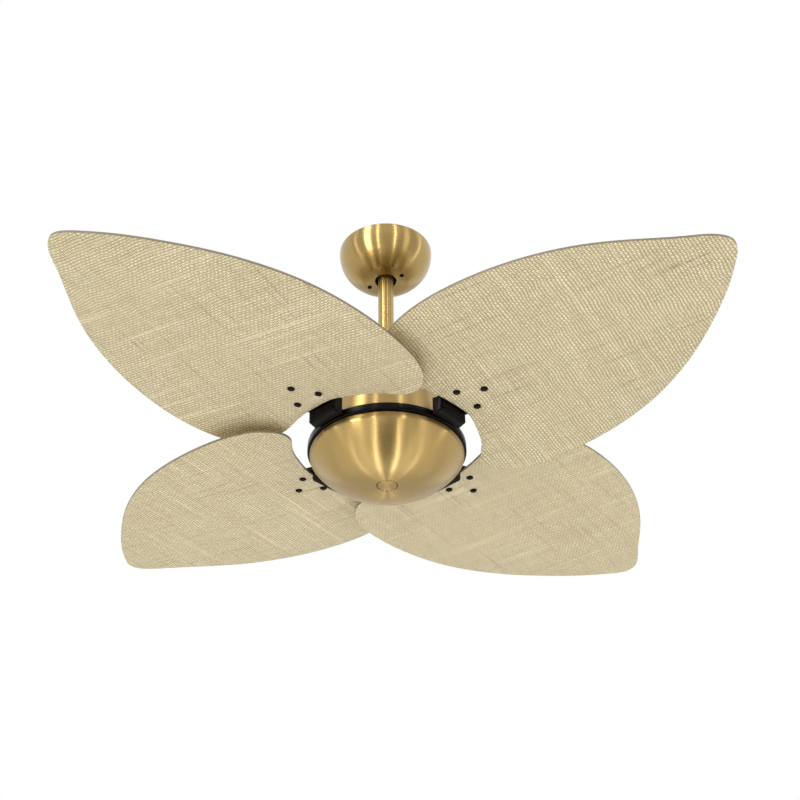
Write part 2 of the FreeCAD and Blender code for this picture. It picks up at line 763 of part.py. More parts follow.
def make_canopy():
    """Spun brass bowl against the ceiling, flat below, with the rod's hole and two screws."""
    body = new_body("canopy")
    turned(body, "bowl", [
        ("canopy_radius", CANOPY_RIM),
        ("canopy_radius", CANOPY_LIP_END, "-canopy_bowl_radius"),
        ("canopy_base_radius", CANOPY_BASE),
        ("canopy_hole_radius", CANOPY_BASE),
        ("canopy_hole_radius", CANOPY_FLOOR),
        (CANOPY_FLOOR_RADIUS, CANOPY_FLOOR, "canopy_bowl_radius - canopy_wall"),
        ("canopy_radius - canopy_wall", CANOPY_LIP_END),
        ("canopy_radius - canopy_wall", CANOPY_RIM),
    ])
    drilled(body, "screw", [("canopy_screw_place", "0"), ("-canopy_screw_place", "0")],
            "canopy_screw_radius + running_clearance", "0", LEG_TURN)
    screw = pan_screw(value("canopy_screw_head_radius"), value("canopy_screw_head_height"),
                      value("canopy_screw_radius"), value("canopy_screw_length"))
    places = circle_places(2, value("canopy_screw_place"), value(CANOPY_BASE), value("leg_azimuth"))
    built("canopy_screws", copies(screw, places))


def make_down_rod():
    """Brass tube with a cross hole at each end."""
    body = new_body("down_rod")
    low = "(%s + %s)" % (BLADE_PLANE, ROD_BOTTOM)
    sketch = new_sketch(body, "tube_rings", "XY_Plane", low)
    draw_circle(sketch, "rod_radius")
    draw_circle(sketch, "rod_radius - rod_wall")
    tube = body.newObject("PartDesign::Pad", "down_rod_tube")
    tube.Profile = sketch
    tie(tube, "Length", "-rod_top_drop - %s" % low)
    body.Tip = tube
    doc.recompute()
    across = LEG_TURN.multiply(ALONG_X)
    lower = "(blade_plane_drop - coupling_bolt_rise)"
    drilled(body, "cross", [("pivot_drop", "0"), (lower, "0")],
            "hanger_bolt_radius + running_clearance", "0", across)


def make_coupling():
    """Flanged sleeve that joins the rod to the motor shaft, with its bolt and pin."""
    body = new_body("rod_coupling", BLADE_PLANE)
    shaft = "shaft_radius + fixed_clearance"
    rod = "rod_radius + fixed_clearance"
    turned(body, "sleeve", [
        (shaft, "coupling_base_rise"),
        ("coupling_radius", "coupling_base_rise"),
        ("coupling_radius", HOUSING_SEAT + " - coupling_flange_thickness"),
        ("coupling_flange_radius", HOUSING_SEAT + " - coupling_flange_thickness"),
        ("coupling_flange_radius", HOUSING_SEAT),
        ("coupling_radius", HOUSING_SEAT),
        ("coupling_radius", "coupling_top_rise"),
        (rod, "coupling_top_rise"),
        (rod, ROD_BOTTOM),
        ("coupling_wire_radius", ROD_BOTTOM),
        ("coupling_wire_radius", "coupling_web_rise"),
        (shaft, "coupling_web_rise"),
    ])
    across = LEG_TURN.multiply(ALONG_X)
    drilled(body, "bolt", [("-coupling_bolt_rise", "0")], "hanger_bolt_radius + running_clearance", "0", across)
    drilled(body, "grub", [("-grub_screw_rise", "0")], "grub_screw_radius + fixed_clearance", "0", across)
    hole = drilled(body, "flange_screw", [("housing_screw_circle", "0")],
                   "housing_screw_radius + running_clearance")
    around(body, hole, "housing_screw_count")
    hex_bolt("coupling_bolt", "coupling_bolt_length", "coupling_radius", "coupling_bolt_rise", LEG_TURN, BLADE_PLANE)
    hex_nut("coupling_nut", "coupling_radius", "coupling_bolt_rise", LEG_TURN, BLADE_PLANE)
    split_pin("coupling_split_pin", "coupling_bolt_length", "coupling_radius", "coupling_bolt_rise",
              LEG_TURN, BLADE_PLANE)
    length = value("grub_screw_length")
    depth = value("grub_socket_depth")
    socket = hexagon(value("grub_socket_across"), depth)
    socket.translate(Vector(0, 0, length - depth))
    grub = Part.makeCylinder(value("grub_screw_radius"), length).cut(socket)
    level = value("%s + grub_screw_rise" % BLADE_PLANE)
    places = circle_places(2, value(shaft), level, value("leg_azimuth"))
    built("shaft_grub_screws", copies(grub, [place.multiply(Placement(Vector(), ALONG_X)) for place in places]))


def make_coupling_cover():
    """Small brass cup that stands on the housing and hides the coupling."""
    body = new_body("coupling_cover", BLADE_PLANE)
    top = "(%s + cover_height)" % HOUSING_TOP
    shoulder = "(%s - cover_shoulder_radius)" % top
    hole = "rod_radius + cover_rod_gap"
    turned(body, "cup", [
        ("cover_radius", HOUSING_TOP),
        ("cover_radius", shoulder, "cover_shoulder_radius"),
        ("cover_radius - cover_shoulder_radius", top),
        (hole, top),
        (hole, top + " - cover_wall"),
        ("cover_radius - cover_shoulder_radius", top + " - cover_wall", "cover_wall - cover_shoulder_radius"),
        ("cover_radius - cover_wall", shoulder),
        ("cover_radius - cover_wall", HOUSING_TOP),
    ])


def make_upper_housing():
    """Spun brass bell over the motor, screwed to the coupling's flange."""
    body = new_body("upper_housing", BLADE_PLANE)
    slant = "housing_wall / cos(housing_flare_angle)"
    hole = "coupling_radius + housing_hole_gap"
    turned(body, "bell", [
        ("housing_rim_radius", "housing_rim_rise"),
        (HOUSING_WAIST_RADIUS, "housing_waist_rise", "housing_shoulder_radius"),
        (HOUSING_TOP_RADIUS, HOUSING_TOP),
        (hole, HOUSING_TOP),
        (hole, HOUSING_SEAT),
        (HOUSING_TOP_RADIUS, HOUSING_SEAT, "housing_wall - housing_shoulder_radius"),
        (HOUSING_WAIST_RADIUS + " - housing_wall * cos(housing_flare_angle)",
         "housing_waist_rise - housing_wall * sin(housing_flare_angle)"),
        ("housing_rim_radius - " + slant, "housing_rim_rise"),
    ])
    hole = drilled(body, "screw", [("housing_screw_circle", "0")], "housing_screw_radius + running_clearance")
    around(body, hole, "housing_screw_count")
    screw = pan_screw(value("housing_screw_head_radius"), value("housing_screw_head_height"),
                      value("housing_screw_radius"), value("housing_screw_length"))
    screw.rotate(Vector(), Vector(1, 0, 0), 180)
    level = value("%s + %s" % (BLADE_PLANE, HOUSING_TOP))
    places = circle_places(value("housing_screw_count"), value("housing_screw_circle"), level)
    built("housing_screws", copies(screw, places))


def make_motor_shaft():
    """Hollow steel shaft that stands still, with holes for the leads."""
    body = new_body("motor_shaft", BLADE_PLANE)
    turned(body, "tube", [
        ("shaft_bore_radius", SHAFT_END),
        ("shaft_radius", SHAFT_END),
        ("shaft_radius", "coupling_web_rise"),
        ("shaft_bore_radius", "coupling_web_rise"),
    ])
    return body


def make_stator():
    """Laminated core with open slots, and one coil round each tooth."""
    body = new_body("stator_core", BLADE_PLANE)
    sketch = new_sketch(body, "disc", "XY_Plane", STATOR_BOTTOM)
    draw_circle(sketch, "stator_radius")
    draw_circle(sketch, "shaft_radius + fixed_clearance")
    pad = body.newObject("PartDesign::Pad", "stator_core_stack")
    pad.Profile = sketch
    tie(pad, "Length", "stator_stack")
    body.Tip = pad
    doc.recompute()
    slot = new_sketch(body, "slot", "XY_Plane", STATOR_BOTTOM)
    draw_outline(slot, [
        ("slot_inner_radius", "-slot_inner_half"),
        ("slot_outer_radius", "-slot_outer_half"),
        ("slot_outer_radius", "-slot_mouth_half"),
        ("stator_radius + cut_overrun", "-slot_mouth_half"),
        ("stator_radius + cut_overrun", "slot_mouth_half"),
        ("slot_outer_radius", "slot_mouth_half"),
        ("slot_outer_radius", "slot_outer_half"),
        ("slot_inner_radius", "slot_inner_half"),
    ])
    cut = cut_through(body, "slot", slot)
    around(body, cut, "stator_slot_count")
    inner = value("coil_inner_place")
    depth = value("coil_outer_place") - inner
    tooth = value("tooth_half + coil_tooth_gap")
    stack = value("stator_stack / 2 + coil_tooth_gap")
    wide = tooth + value("coil_thickness")
    tall = stack + value("coil_overhang")
    coil = Part.makeBox(depth, 2 * wide, 2 * tall, Vector(inner, -wide, -tall))
    rounds = [edge for edge in coil.Edges if abs(edge.Vertexes[0].X - edge.Vertexes[1].X) > depth / 2]
    coil = coil.makeFillet(value("coil_thickness"), rounds)
    coil = coil.cut(Part.makeBox(2 * depth, 2 * tooth, 2 * stack, Vector(inner - depth / 2, -tooth, -stack)))
    count = value("stator_slot_count")
    level = value("%s - motor_centre_drop" % BLADE_PLANE)
    built("stator_windings", copies(coil, circle_places(count, 0, level, 180.0 / count)))


def make_leads(shaft):
    """Three insulated leads from the coils through the shaft and up the rod, clear of its bolts."""
    height = "(%s + (%s - %s) / 2)" % (STATOR_TOP, UPPER_BEARING, STATOR_TOP)
    level = value(height)
    start = value("coil_inner_place - seat_gap")
    bend = value("lead_bend_radius")
    place = value("lead_place")
    top = value("blade_plane_drop - lead_top_drop")
    turn_end = place + bend
    path = Part.Wire([
        Part.LineSegment(Vector(start, 0, level), Vector(turn_end, 0, level)).toShape(),
        Part.Arc(Vector(turn_end, 0, level),
                 Vector(turn_end - bend * math.sqrt(0.5), 0, level + bend * (1 - math.sqrt(0.5))),
                 Vector(place, 0, level + bend)).toShape(),
        Part.LineSegment(Vector(place, 0, level + bend), Vector(place, 0, top)).toShape(),
    ])
    section = Part.Wire(Part.Circle(Vector(start, 0, level), Vector(-1, 0, 0), value("lead_radius")).toShape())
    lead = path.makePipeShell([section], True, False)
    azimuths = [value("leg_azimuth + lead_turn"), value("leg_azimuth + 180 - lead_turn"),
                value("leg_azimuth - lead_turn")]
    turns = [Rotation(Vector(0, 0, 1), azimuth) for azimuth in azimuths]
    centre = Vector(0, 0, value(BLADE_PLANE))
    built("motor_leads", copies(lead, [Placement(centre, turn) for turn in turns]))
    for index, turn in enumerate(turns, start=1):
        side = turn.multiply(ALONG_X)
        sketch = new_sketch(shaft, "lead_%d" % index, "XY_Plane", "shaft_radius + cut_overrun", side)
        draw_circle(sketch, "lead_hole_radius", "-" + height, "0")
        pocket = shaft.newObject("PartDesign::Pocket", "motor_shaft_lead_%d" % index)
        pocket.Profile = sketch
        tie(pocket, "Length", "shaft_radius + cut_overrun")
        shaft.Tip = pocket
        doc.recompute()


def make_bearing(name, base):
    """Ball bearing: outer ring on the rotor, inner ring on the shaft, balls between them."""
    top = "(%s + bearing_width)" % base
    middle = "(%s + bearing_width / 2)" % base
    track = "(ball_radius + running_clearance)"
    outer_half = "sqrt(%s^2 - (bearing_outer_land - bearing_pitch_radius)^2)" % track
    inner_half = "sqrt(%s^2 - (bearing_pitch_radius - bearing_inner_land)^2)" % track
    outer = new_body(name + "_bearing_outer", BLADE_PLANE)
    turned(outer, "ring", [
        ("bearing_outer_land", base),
        ("bearing_radius", base),
        ("bearing_radius", top),
        ("bearing_outer_land", top),
        ("bearing_outer_land", "%s + %s" % (middle, outer_half), "-" + track),
        ("bearing_outer_land", "%s - %s" % (middle, outer_half)),
    ])
    inner = new_body(name + "_bearing_inner", BLADE_PLANE)
    turned(inner, "ring", [
        ("shaft_radius + fixed_clearance", base),
        ("bearing_inner_land", base),
        ("bearing_inner_land", "%s - %s" % (middle, inner_half), "-" + track),
        ("bearing_inner_land", "%s + %s" % (middle, inner_half)),
        ("bearing_inner_land", top),
        ("shaft_radius + fixed_clearance", top),
    ])
    ball = Part.makeSphere(value("ball_radius"))
    level = value("%s + %s" % (BLADE_PLANE, middle))
    places = circle_places(value("ball_count"), value("bearing_pitch_radius"), level)
    built(name + "_bearing_balls", copies(ball, places))


def make_shell(name, flange_base, flange_top, end, side):
    """One half of the rotor casing, with its bearing seat, vents and screw holes."""
    body = new_body(name, BLADE_PLANE, "first_blade_azimuth")
    seat = "bearing_radius + fixed_clearance"
    bore = "cage_radius + fixed_clearance"
    turned(body, "cup", [
        (bore, flange_base),
        ("shell_flange_radius", flange_base),
        ("shell_flange_radius", flange_top),
        ("shell_radius", flange_top),
        ("shell_radius", "%s %s shell_shoulder" % (end, side)),
        ("shell_radius - shell_shoulder", end),
        ("shell_lip_radius", end),
        ("shell_lip_radius", "%s %s shell_lip" % (end, side)),
        (seat, "%s %s shell_lip" % (end, side)),
        (seat, "%s %s (shell_lip + bearing_width)" % (end, side)),
        ("shell_boss_radius", "%s %s (shell_lip + bearing_width)" % (end, side)),
        ("shell_boss_radius", "%s %s shell_wall" % (end, side)),
        ("cage_radius - shell_shoulder", "%s %s shell_wall" % (end, side)),
        (bore, "%s %s shell_shoulder" % (end, side)),
    ])
    hole = drilled(body, "screw", [("shell_screw_circle", "0")], "shell_screw_radius + fixed_clearance")
    around(body, hole, "shell_screw_count")
    vent = new_sketch(body, "vent", "XY_Plane", "0")
    half = "shell_vent_width / 2"
    draw_outline(vent, [
        ("shell_vent_inner", "-" + half),
        ("shell_vent_outer", "-" + half, half),
        ("shell_vent_outer", half),
        ("shell_vent_inner", half, half),
    ])
    slot = cut_through(body, "vent", vent)
    around(body, slot, "shell_vent_count")


def make_rotor_core():
    """Rotor cage, its two shells and the screws that clamp them to the ring."""
    cage = new_body("rotor_cage", BLADE_PLANE)
    low = "(-cage_stack / 2 - motor_centre_drop)"
    high = "(cage_stack / 2 - motor_centre_drop)"
    turned(cage, "sleeve", [
        ("stator_radius + air_gap", low),
        ("cage_radius", low),
        ("cage_radius", high),
        ("stator_radius + air_gap", high),
    ])
    make_shell("rotor_upper_shell", RING_FLOOR_TOP, RING_FLOOR_TOP + " + shell_flange_thickness", SHELL_TOP, "-")
    make_shell("rotor_lower_shell", RING_UNDERSIDE, RING_UNDERSIDE + " - shell_flange_thickness", SHELL_BOTTOM, "+")
    length = value("2 * shell_flange_thickness + ring_floor - shell_screw_end")
    screw = pan_screw(value("shell_screw_head_radius"), value("shell_screw_head_height"),
                      value("shell_screw_radius"), length)
    screw.rotate(Vector(), Vector(1, 0, 0), 180)
    level = value("%s + %s + shell_flange_thickness" % (BLADE_PLANE, RING_FLOOR_TOP))
    places = circle_places(value("shell_screw_count"), value("shell_screw_circle"), level,
                           value("first_blade_azimuth"))
    built("rotor_shell_screws", copies(screw, places))


def make_rotor_ring():
    """Black cast ring that carries the blade irons, its rim notched where they pass."""
    body = new_body("rotor_ring", BLADE_PLANE, "first_blade_azimuth")
    inner = "ring_radius - ring_rim_wall"
    turned(body, "channel", [
        ("ring_bore_radius", RING_UNDERSIDE),
        ("ring_radius", RING_UNDERSIDE),
        ("ring_radius", RING_RIM_TOP),
        (inner, RING_RIM_TOP),
        (inner, RING_FLOOR_TOP),
        ("ring_bore_radius", RING_FLOOR_TOP),
    ])
    edges = [ring_edge("ring_radius", RING_UNDERSIDE), ring_edge("ring_radius", RING_RIM_TOP)]
    dressed(body, "rounds", "Fillet", "ring_edge_radius", lambda edge, middle: any(t(edge, middle) for t in edges))
    notch = new_sketch(body, "notch", "XY_Plane", RING_RIM_TOP)
    half = "(iron_foot_width / 2 + ring_notch_gap)"
    draw_outline(notch, [
        ("ring_radius - 2 * ring_rim_wall", "-" + half),
        ("ring_radius + cut_overrun", "-" + half),
        ("ring_radius + cut_overrun", half),
        ("ring_radius - 2 * ring_rim_wall", half),
    ])
    pocket = body.newObject("PartDesign::Pocket", "rotor_ring_notch")
    pocket.Profile = notch
    tie(pocket, "Length", "ring_rim_height - ring_floor")
    body.Tip = pocket
    doc.recompute()
    around(body, pocket, "blade_count")
    spread = "iron_screw_spread / 2"
    holes = drilled(body, "iron_screw", [("iron_screw_place", spread), ("iron_screw_place", "-" + spread)],
                    "iron_screw_radius + running_clearance")
    around(body, holes, "blade_count")
    hole = drilled(body, "shell_screw", [("shell_screw_circle", "0")], "shell_screw_radius + running_clearance")
    around(body, hole, "shell_screw_count")


def make_blade_iron(number, azimuth):
    """Cast arm: foot on the ring, bevelled block beside it, palm on the blade's top."""
    body = new_body("blade_iron_%d" % number, BLADE_PLANE, str(azimuth))
    half = "iron_foot_width / 2"
    lap = "(iron_block_inner + iron_bevel)"
    padded(body, "foot", [("iron_foot_inner", "-" + half), (lap, "-" + half), (lap, half), ("iron_foot_inner", half)],
           RING_FLOOR_TOP, "iron_foot_thickness")
    wide = "iron_block_width / 2"
    end = "iron_block_end_width / 2"
    block = [("iron_block_inner", "-" + wide), ("iron_block_outer", "-" + end),
             ("iron_block_outer", end), ("iron_block_inner", wide)]
    padded(body, "block", block, "-iron_block_drop", "iron_block_drop + iron_block_top")
    low = value("edge_tolerance - iron_block_drop")
    tall = value("iron_block_top")
    near = value("iron_block_inner - edge_tolerance")
    past = value("iron_block_inner + edge_tolerance")

    def bevelled(edge, middle):
        upright = abs(edge.Vertexes[0].Z - edge.Vertexes[-1].Z) > tall
        return (upright and middle.x > near) or (middle.z < low and middle.x > past)
    dressed(body, "bevels", "Chamfer", "iron_bevel", bevelled)
    side = "(blade_screw_spread / 2 + iron_palm_margin)"
    tip = "(blade_screw_outer + iron_palm_margin)"
    palm = [
        ("iron_palm_root", "-" + end),
        ("blade_screw_inner - iron_palm_margin", "-" + side),
        ("blade_screw_inner + iron_palm_margin", "-" + side),
        (tip, "-iron_palm_margin"),
        (tip, "iron_palm_margin"),
        ("blade_screw_inner + iron_palm_margin", side),
        ("blade_screw_inner - iron_palm_margin", side),
        ("iron_palm_root", end),
    ]
    padded(body, "palm", palm, "blade_thickness", "iron_palm_thickness", BLADE_TILT)
    normal = BLADE_TILT.multVec(Vector(0, 0, 1))
    reach = value("blade_screw_inner - iron_palm_margin - iron_palm_round / 2")
    depth = value("iron_palm_thickness - edge_tolerance")

    def palm_corner(edge, middle):
        if len(edge.Vertexes) < 2 or middle.x < reach:
            return False
        run = edge.Vertexes[1].Point - edge.Vertexes[0].Point
        return abs(run.dot(normal)) > depth
    dressed(body, "palm_rounds", "Fillet", "iron_palm_round", palm_corner)
    rib_half = "iron_rib_width / 2"
    rib = [("iron_block_inner", "-" + rib_half), ("iron_block_inner + iron_rib_length", "-" + rib_half),
           ("iron_block_inner + iron_rib_length", rib_half), ("iron_block_inner", rib_half)]
    padded(body, "rib", rib, "blade_thickness + iron_palm_thickness - running_clearance",
           "iron_rib_height", BLADE_TILT)
    drilled(body, "blade_screw", blade_screw_spots(), "blade_screw_radius + running_clearance", "0", BLADE_TILT)
    spread = "iron_screw_spread / 2"
    drilled(body, "ring_screw", [("iron_screw_place", spread), ("iron_screw_place", "-" + spread)],
            "iron_screw_radius + running_clearance")


def blade_screw_spots():
    """Places of the three screws in the blade's own plane."""
    half = "blade_screw_spread / 2"
    return [("blade_screw_inner", "-" + half), ("blade_screw_outer", "0"), ("blade_screw_inner", half)]


# Outline of a blade, as shares of its tip radius and of its width on each side.
LEAD_SHARES = [(0.178, 0.878), (0.23, 0.942), (0.3, 0.983), (0.38, 1.0), (0.47, 0.99), (0.56, 0.944),
               (0.65, 0.855), (0.74, 0.724), (0.83, 0.55), (0.91, 0.365), (0.97, 0.19)]
TIP_SHARES = [(1.0, 0.03), (0.985, -0.075)]
TRAIL_SHARES = [(0.94, -0.2), (0.87, -0.385), (0.78, -0.61), (0.69, -0.775), (0.59, -0.9), (0.49, -0.975),
                (0.4, -1.0), (0.32, -0.975), (0.26, -0.91), (0.222, -0.8)]
ROOT_TRAIL_SHARES = [(0.93, -0.885), (0.895, -0.68), (0.965, -0.34)]
ROOT_LEAD_SHARES = [(0.995, 0.18), (0.9, 0.42), (0.72, 0.7), (0.57, 0.88), (0.575, 1.03), (0.66, 1.155)]


def blade_shape():
    """One blade in its own plane: a smooth leaf outline, raised by its thickness and drilled."""
    tip = value("blade_tip_radius")
    lead = value("blade_lead_width")
    trail = value("blade_trail_width")
    root = value("blade_root_radius")
    points = [Vector(tip * r, lead * w, 0) for r, w in LEAD_SHARES]
    points += [Vector(tip * r, (lead if w > 0 else trail) * w, 0) for r, w in TIP_SHARES]
    points += [Vector(tip * r, trail * w, 0) for r, w in TRAIL_SHARES]
    points += [Vector(root * r, root * w, 0) for r, w in ROOT_TRAIL_SHARES]
    points += [Vector(root, 0, 0)]
    points += [Vector(root * r, root * w, 0) for r, w in ROOT_LEAD_SHARES]
    curve = Part.BSplineCurve()
    curve.interpolate(points, PeriodicFlag=True)
    face = Part.Face(Part.Wire(curve.toShape()))
    solid = face.extrude(Vector(0, 0, value("blade_thickness")))
    for across, up in blade_screw_spots():
        hole = Part.makeCylinder(value("blade_screw_radius + running_clearance"), value("3 * blade_thickness"),
                                 Vector(value(across), value(up), -value("blade_thickness")))
        solid = solid.cut(hole)
    return solid


def make_blades():
    """The blades with their irons, and the screws of both."""
    shape = blade_shape()
    blade_spots = []
    iron_spots = []
    for number, azimuth in enumerate(blade_azimuths(), start=1):
        spin = Rotation(Vector(0, 0, 1), azimuth)
        frame = Placement(Vector(0, 0, value(BLADE_PLANE)), spin.multiply(BLADE_TILT))
        blade = built("blade_%d" % number, shape.copy())
        blade.Placement = frame
        make_blade_iron(number, azimuth)
        for across, up in blade_screw_spots():
            spot = Placement(Vector(value(across), value(up), 0), Rotation())
            blade_spots.append(frame.multiply(spot))
        for side in ("-", ""):
            local = Vector(value("iron_screw_place"), value(side + "iron_screw_spread / 2"), value(RING_UNDERSIDE))
            iron_spots.append(Placement(spin.multVec(local) + Vector(0, 0, value(BLADE_PLANE)), spin))
    blade_screw = pan_screw(value("blade_screw_head_radius"), value("blade_screw_head_height"),
                            value("blade_screw_radius"),
                            value("blade_thickness + iron_palm_thickness + blade_screw_end"))
    built("blade_screws", copies(blade_screw, blade_spots))
    iron_screw = pan_screw(value("iron_screw_head_radius"), value("iron_screw_head_height"),
                           value("iron_screw_radius"), value("ring_floor + iron_foot_thickness - seat_gap"))
    built("iron_screws", copies(iron_screw, iron_spots))


def make_dome():
    """Spun brass bowl below the ring, held by a nut on the shaft behind a round cap."""
    body = new_body("dome_cover", BLADE_PLANE)
    turn_across = "dome_radius - dome_rim_round * (1 - cos(dome_rim_angle))"
    turn_up = DOME_LIP_END + " - dome_rim_round * sin(dome_rim_angle)"
    recess = "dome_recess_radius + dome_wall"
    hole = "shaft_radius + running_clearance"
    turned(body, "bowl", [
        ("dome_radius", "-dome_rim_drop"),
        ("dome_radius", DOME_LIP_END, "-dome_rim_round"),
        (turn_across, turn_up, "-dome_arc_radius"),
        ("dome_flat_radius", DOME_BASE),
        ("dome_recess_radius", DOME_BASE),
        ("dome_recess_radius", RECESS_FLOOR),
        (hole, RECESS_FLOOR),
        (hole, RECESS_FLOOR + " + dome_wall"),
        (recess, RECESS_FLOOR + " + dome_wall"),
        (recess, DOME_BASE + " + dome_wall"),
        ("dome_flat_radius", DOME_BASE + " + dome_wall", "dome_arc_radius - dome_wall"),
        (turn_across + " - dome_wall * cos(dome_rim_angle)", turn_up + " + dome_wall * sin(dome_rim_angle)",
         "dome_rim_round - dome_wall"),
        ("dome_radius - dome_wall", DOME_LIP_END),
        ("dome_radius - dome_wall", "-dome_rim_drop"),
    ])
    spacer = new_body("dome_spacer", BLADE_PLANE)
    turned(spacer, "sleeve", [
        ("shaft_radius + fixed_clearance", RECESS_FLOOR + " + dome_wall"),
        ("spacer_radius", RECESS_FLOOR + " + dome_wall"),
        ("spacer_radius", LOWER_BEARING),
        ("shaft_radius + fixed_clearance", LOWER_BEARING),
    ])
    height = value("dome_nut_height")
    nut = hexagon(value("dome_nut_across"), height).cut(
        Part.makeCylinder(value("shaft_radius + fixed_clearance"), height))
    nut.translate(Vector(0, 0, value("%s + %s - dome_nut_height" % (BLADE_PLANE, RECESS_FLOOR))))
    built("dome_nut", nut)
    cap = new_body("dome_cap", BLADE_PLANE)
    edge = "dome_recess_radius - plug_gap"
    turned(cap, "disc", [
        ("0", DOME_BASE),
        (edge, DOME_BASE),
        (edge, DOME_BASE + " + plug_thickness + plug_skirt"),
        (edge + " - plug_wall", DOME_BASE + " + plug_thickness + plug_skirt"),
        (edge + " - plug_wall", DOME_BASE + " + plug_thickness"),
        ("0", DOME_BASE + " + plug_thickness"),
    ])


def check_and_write():
    """Stop if anything failed, then write one STEP file for each piece."""
    doc.recompute()
    for thing in doc.Objects:
        if {"Invalid", "Error"} & set(thing.State):
            raise ValueError("%s is in error" % thing.Name)
    for label, thing in pieces.items():
        shape = thing.Shape
        if shape.isNull() or not shape.isValid() or not shape.Solids:
            raise ValueError("%s has no valid solid" % label)
    for label, thing in pieces.items():
        thing.Shape.exportStep("parts/%s.step" % label)
    print("%d pieces written" % len(pieces))


make_ceiling_bracket()
make_hanger()
make_terminal_block()
make_canopy()
make_down_rod()
make_coupling()
make_coupling_cover()
make_upper_housing()
motor_shaft = make_motor_shaft()
make_stator()
make_leads(motor_shaft)
make_bearing("upper", UPPER_BEARING)
make_bearing("lower", LOWER_BEARING)
make_rotor_core()
make_rotor_ring()
make_blades()
make_dome()
check_and_write()
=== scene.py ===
"""Ceiling fan with four woven leaf blades: fine forms, finishes, light and camera."""

import json
import logging
import math
from dataclasses import dataclass, field
from enum import Enum

import bmesh
import bpy
from mathutils import Matrix, Vector


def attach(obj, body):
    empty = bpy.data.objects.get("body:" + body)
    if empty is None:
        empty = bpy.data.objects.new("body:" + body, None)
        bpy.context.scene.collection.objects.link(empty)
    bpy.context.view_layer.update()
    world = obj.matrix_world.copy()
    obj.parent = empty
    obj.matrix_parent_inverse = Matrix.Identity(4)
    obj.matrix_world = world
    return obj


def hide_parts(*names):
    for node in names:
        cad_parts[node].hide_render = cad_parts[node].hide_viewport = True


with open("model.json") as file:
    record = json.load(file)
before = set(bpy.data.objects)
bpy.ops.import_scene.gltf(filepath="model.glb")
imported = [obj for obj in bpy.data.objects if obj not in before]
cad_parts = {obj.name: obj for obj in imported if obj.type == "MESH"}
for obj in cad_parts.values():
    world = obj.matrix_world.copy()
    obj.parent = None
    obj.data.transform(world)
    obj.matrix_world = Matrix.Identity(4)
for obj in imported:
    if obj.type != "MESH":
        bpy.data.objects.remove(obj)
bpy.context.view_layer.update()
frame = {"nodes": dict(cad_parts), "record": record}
MM = 0.001
MERGE = 0.002 * MM
SPIN_MERGE = 0.001 * MM
FLAT_ANGLE = 1.0
HARD_ANGLE = 28.0
WANDER_SCALE = 0.07
WANDER_DETAIL = 4.0
WANDER_ROUGHNESS = 0.6
THREAD_SEEDS = (3.7, 91.3)
LINE_SCALE = 2600.0
LINE_TURN_SHARE = 0.0008
SMUDGE_SCALE = 22.0
log = logging.getLogger("ceiling_fan")

Profile = list[tuple[float, float]]


class Body(Enum):
    """The moving bodies that pieces ride on."""

    CEILING = "ceiling_mount"
    HUNG = "hung_frame"
    ROTOR = "rotor"


class NodeSheet:
    """A short way to place and join nodes in one node tree."""

    def __init__(self, tree: bpy.types.NodeTree) -> None:
        """Keep the tree that the nodes go into."""
        self.tree = tree

    def add(self, kind: str, **settings: object) -> bpy.types.Node:
        """Place a node.

        Args:
            kind: Blender's name of the node type.
            settings: properties of the node, such as operation.

        Returns:
            The new node.
        """
        node = self.tree.nodes.new(kind)
        for name, setting in settings.items():
            setattr(node, name, setting)
        return node

    def join(self, source: object, target: object) -> None:
        """Link an output socket, or set a plain value, on an input socket.

        Args:
            source: output socket or plain value.
            target: the input socket.
        """
        if isinstance(source, bpy.types.NodeSocket):
            self.tree.links.new(source, target)
        else:
            target.default_value = source

    def math(self, operation: str, first: object, second: object = None) -> bpy.types.NodeSocket:
        """Work out one number from others.

        Args:
            operation: the Math node's operation.
            first: socket or number.
            second: socket or number, where the operation has one.

        Returns:
            The output socket.
        """
        node = self.add("ShaderNodeMath", operation=operation)
        for index, entry in enumerate((first, second)):
            if entry is not None:
                self.join(entry, node.inputs[index])
        return node.outputs[0]

    def mix_colour(self, share: object, first: object, second: object) -> bpy.types.NodeSocket:
        """Blend two colours.

        Args:
            share: socket or number, how much of the second colour there is.
            first: socket or colour.
            second: socket or colour.

        Returns:
            The output socket with the colour.
        """
        node = self.add("ShaderNodeMix", data_type="RGBA")
        self.join(share, node.inputs["Factor"])
        self.join(first, node.inputs[6])
        self.join(second, node.inputs[7])
        return node.outputs[2]

    def spread(self, entry: object, low: float, high: float, to_low: float,
               to_high: float) -> bpy.types.NodeSocket:
        """Map a value from one range to another, kept inside it.

        Args:
            entry: socket or number.
            low: where the first range starts.
            high: where the first range ends.
            to_low: what low becomes.
            to_high: what high becomes.

        Returns:
            The output socket.
        """
        node = self.add("ShaderNodeMapRange", clamp=True)
        for index, number in enumerate((entry, low, high, to_low, to_high)):
            self.join(number, node.inputs[index])
        return node.outputs[0]

    def noise(self, vector: object, scale: float, detail: float = 2.0,
              roughness: float = 0.5) -> bpy.types.NodeSocket:
        """Fractal noise between 0 and 1.

        Args:
            vector: socket with the place.
            scale: how fine the noise is.
            detail: how many finer layers it has.
            roughness: how strong the finer layers are.

        Returns:
            The output socket.
        """
        node = self.add("ShaderNodeTexNoise")
        self.join(vector, node.inputs["Vector"])
        node.inputs["Scale"].default_value = scale
        node.inputs["Detail"].default_value = detail
        node.inputs["Roughness"].default_value = roughness
        return node.outputs["Fac"]


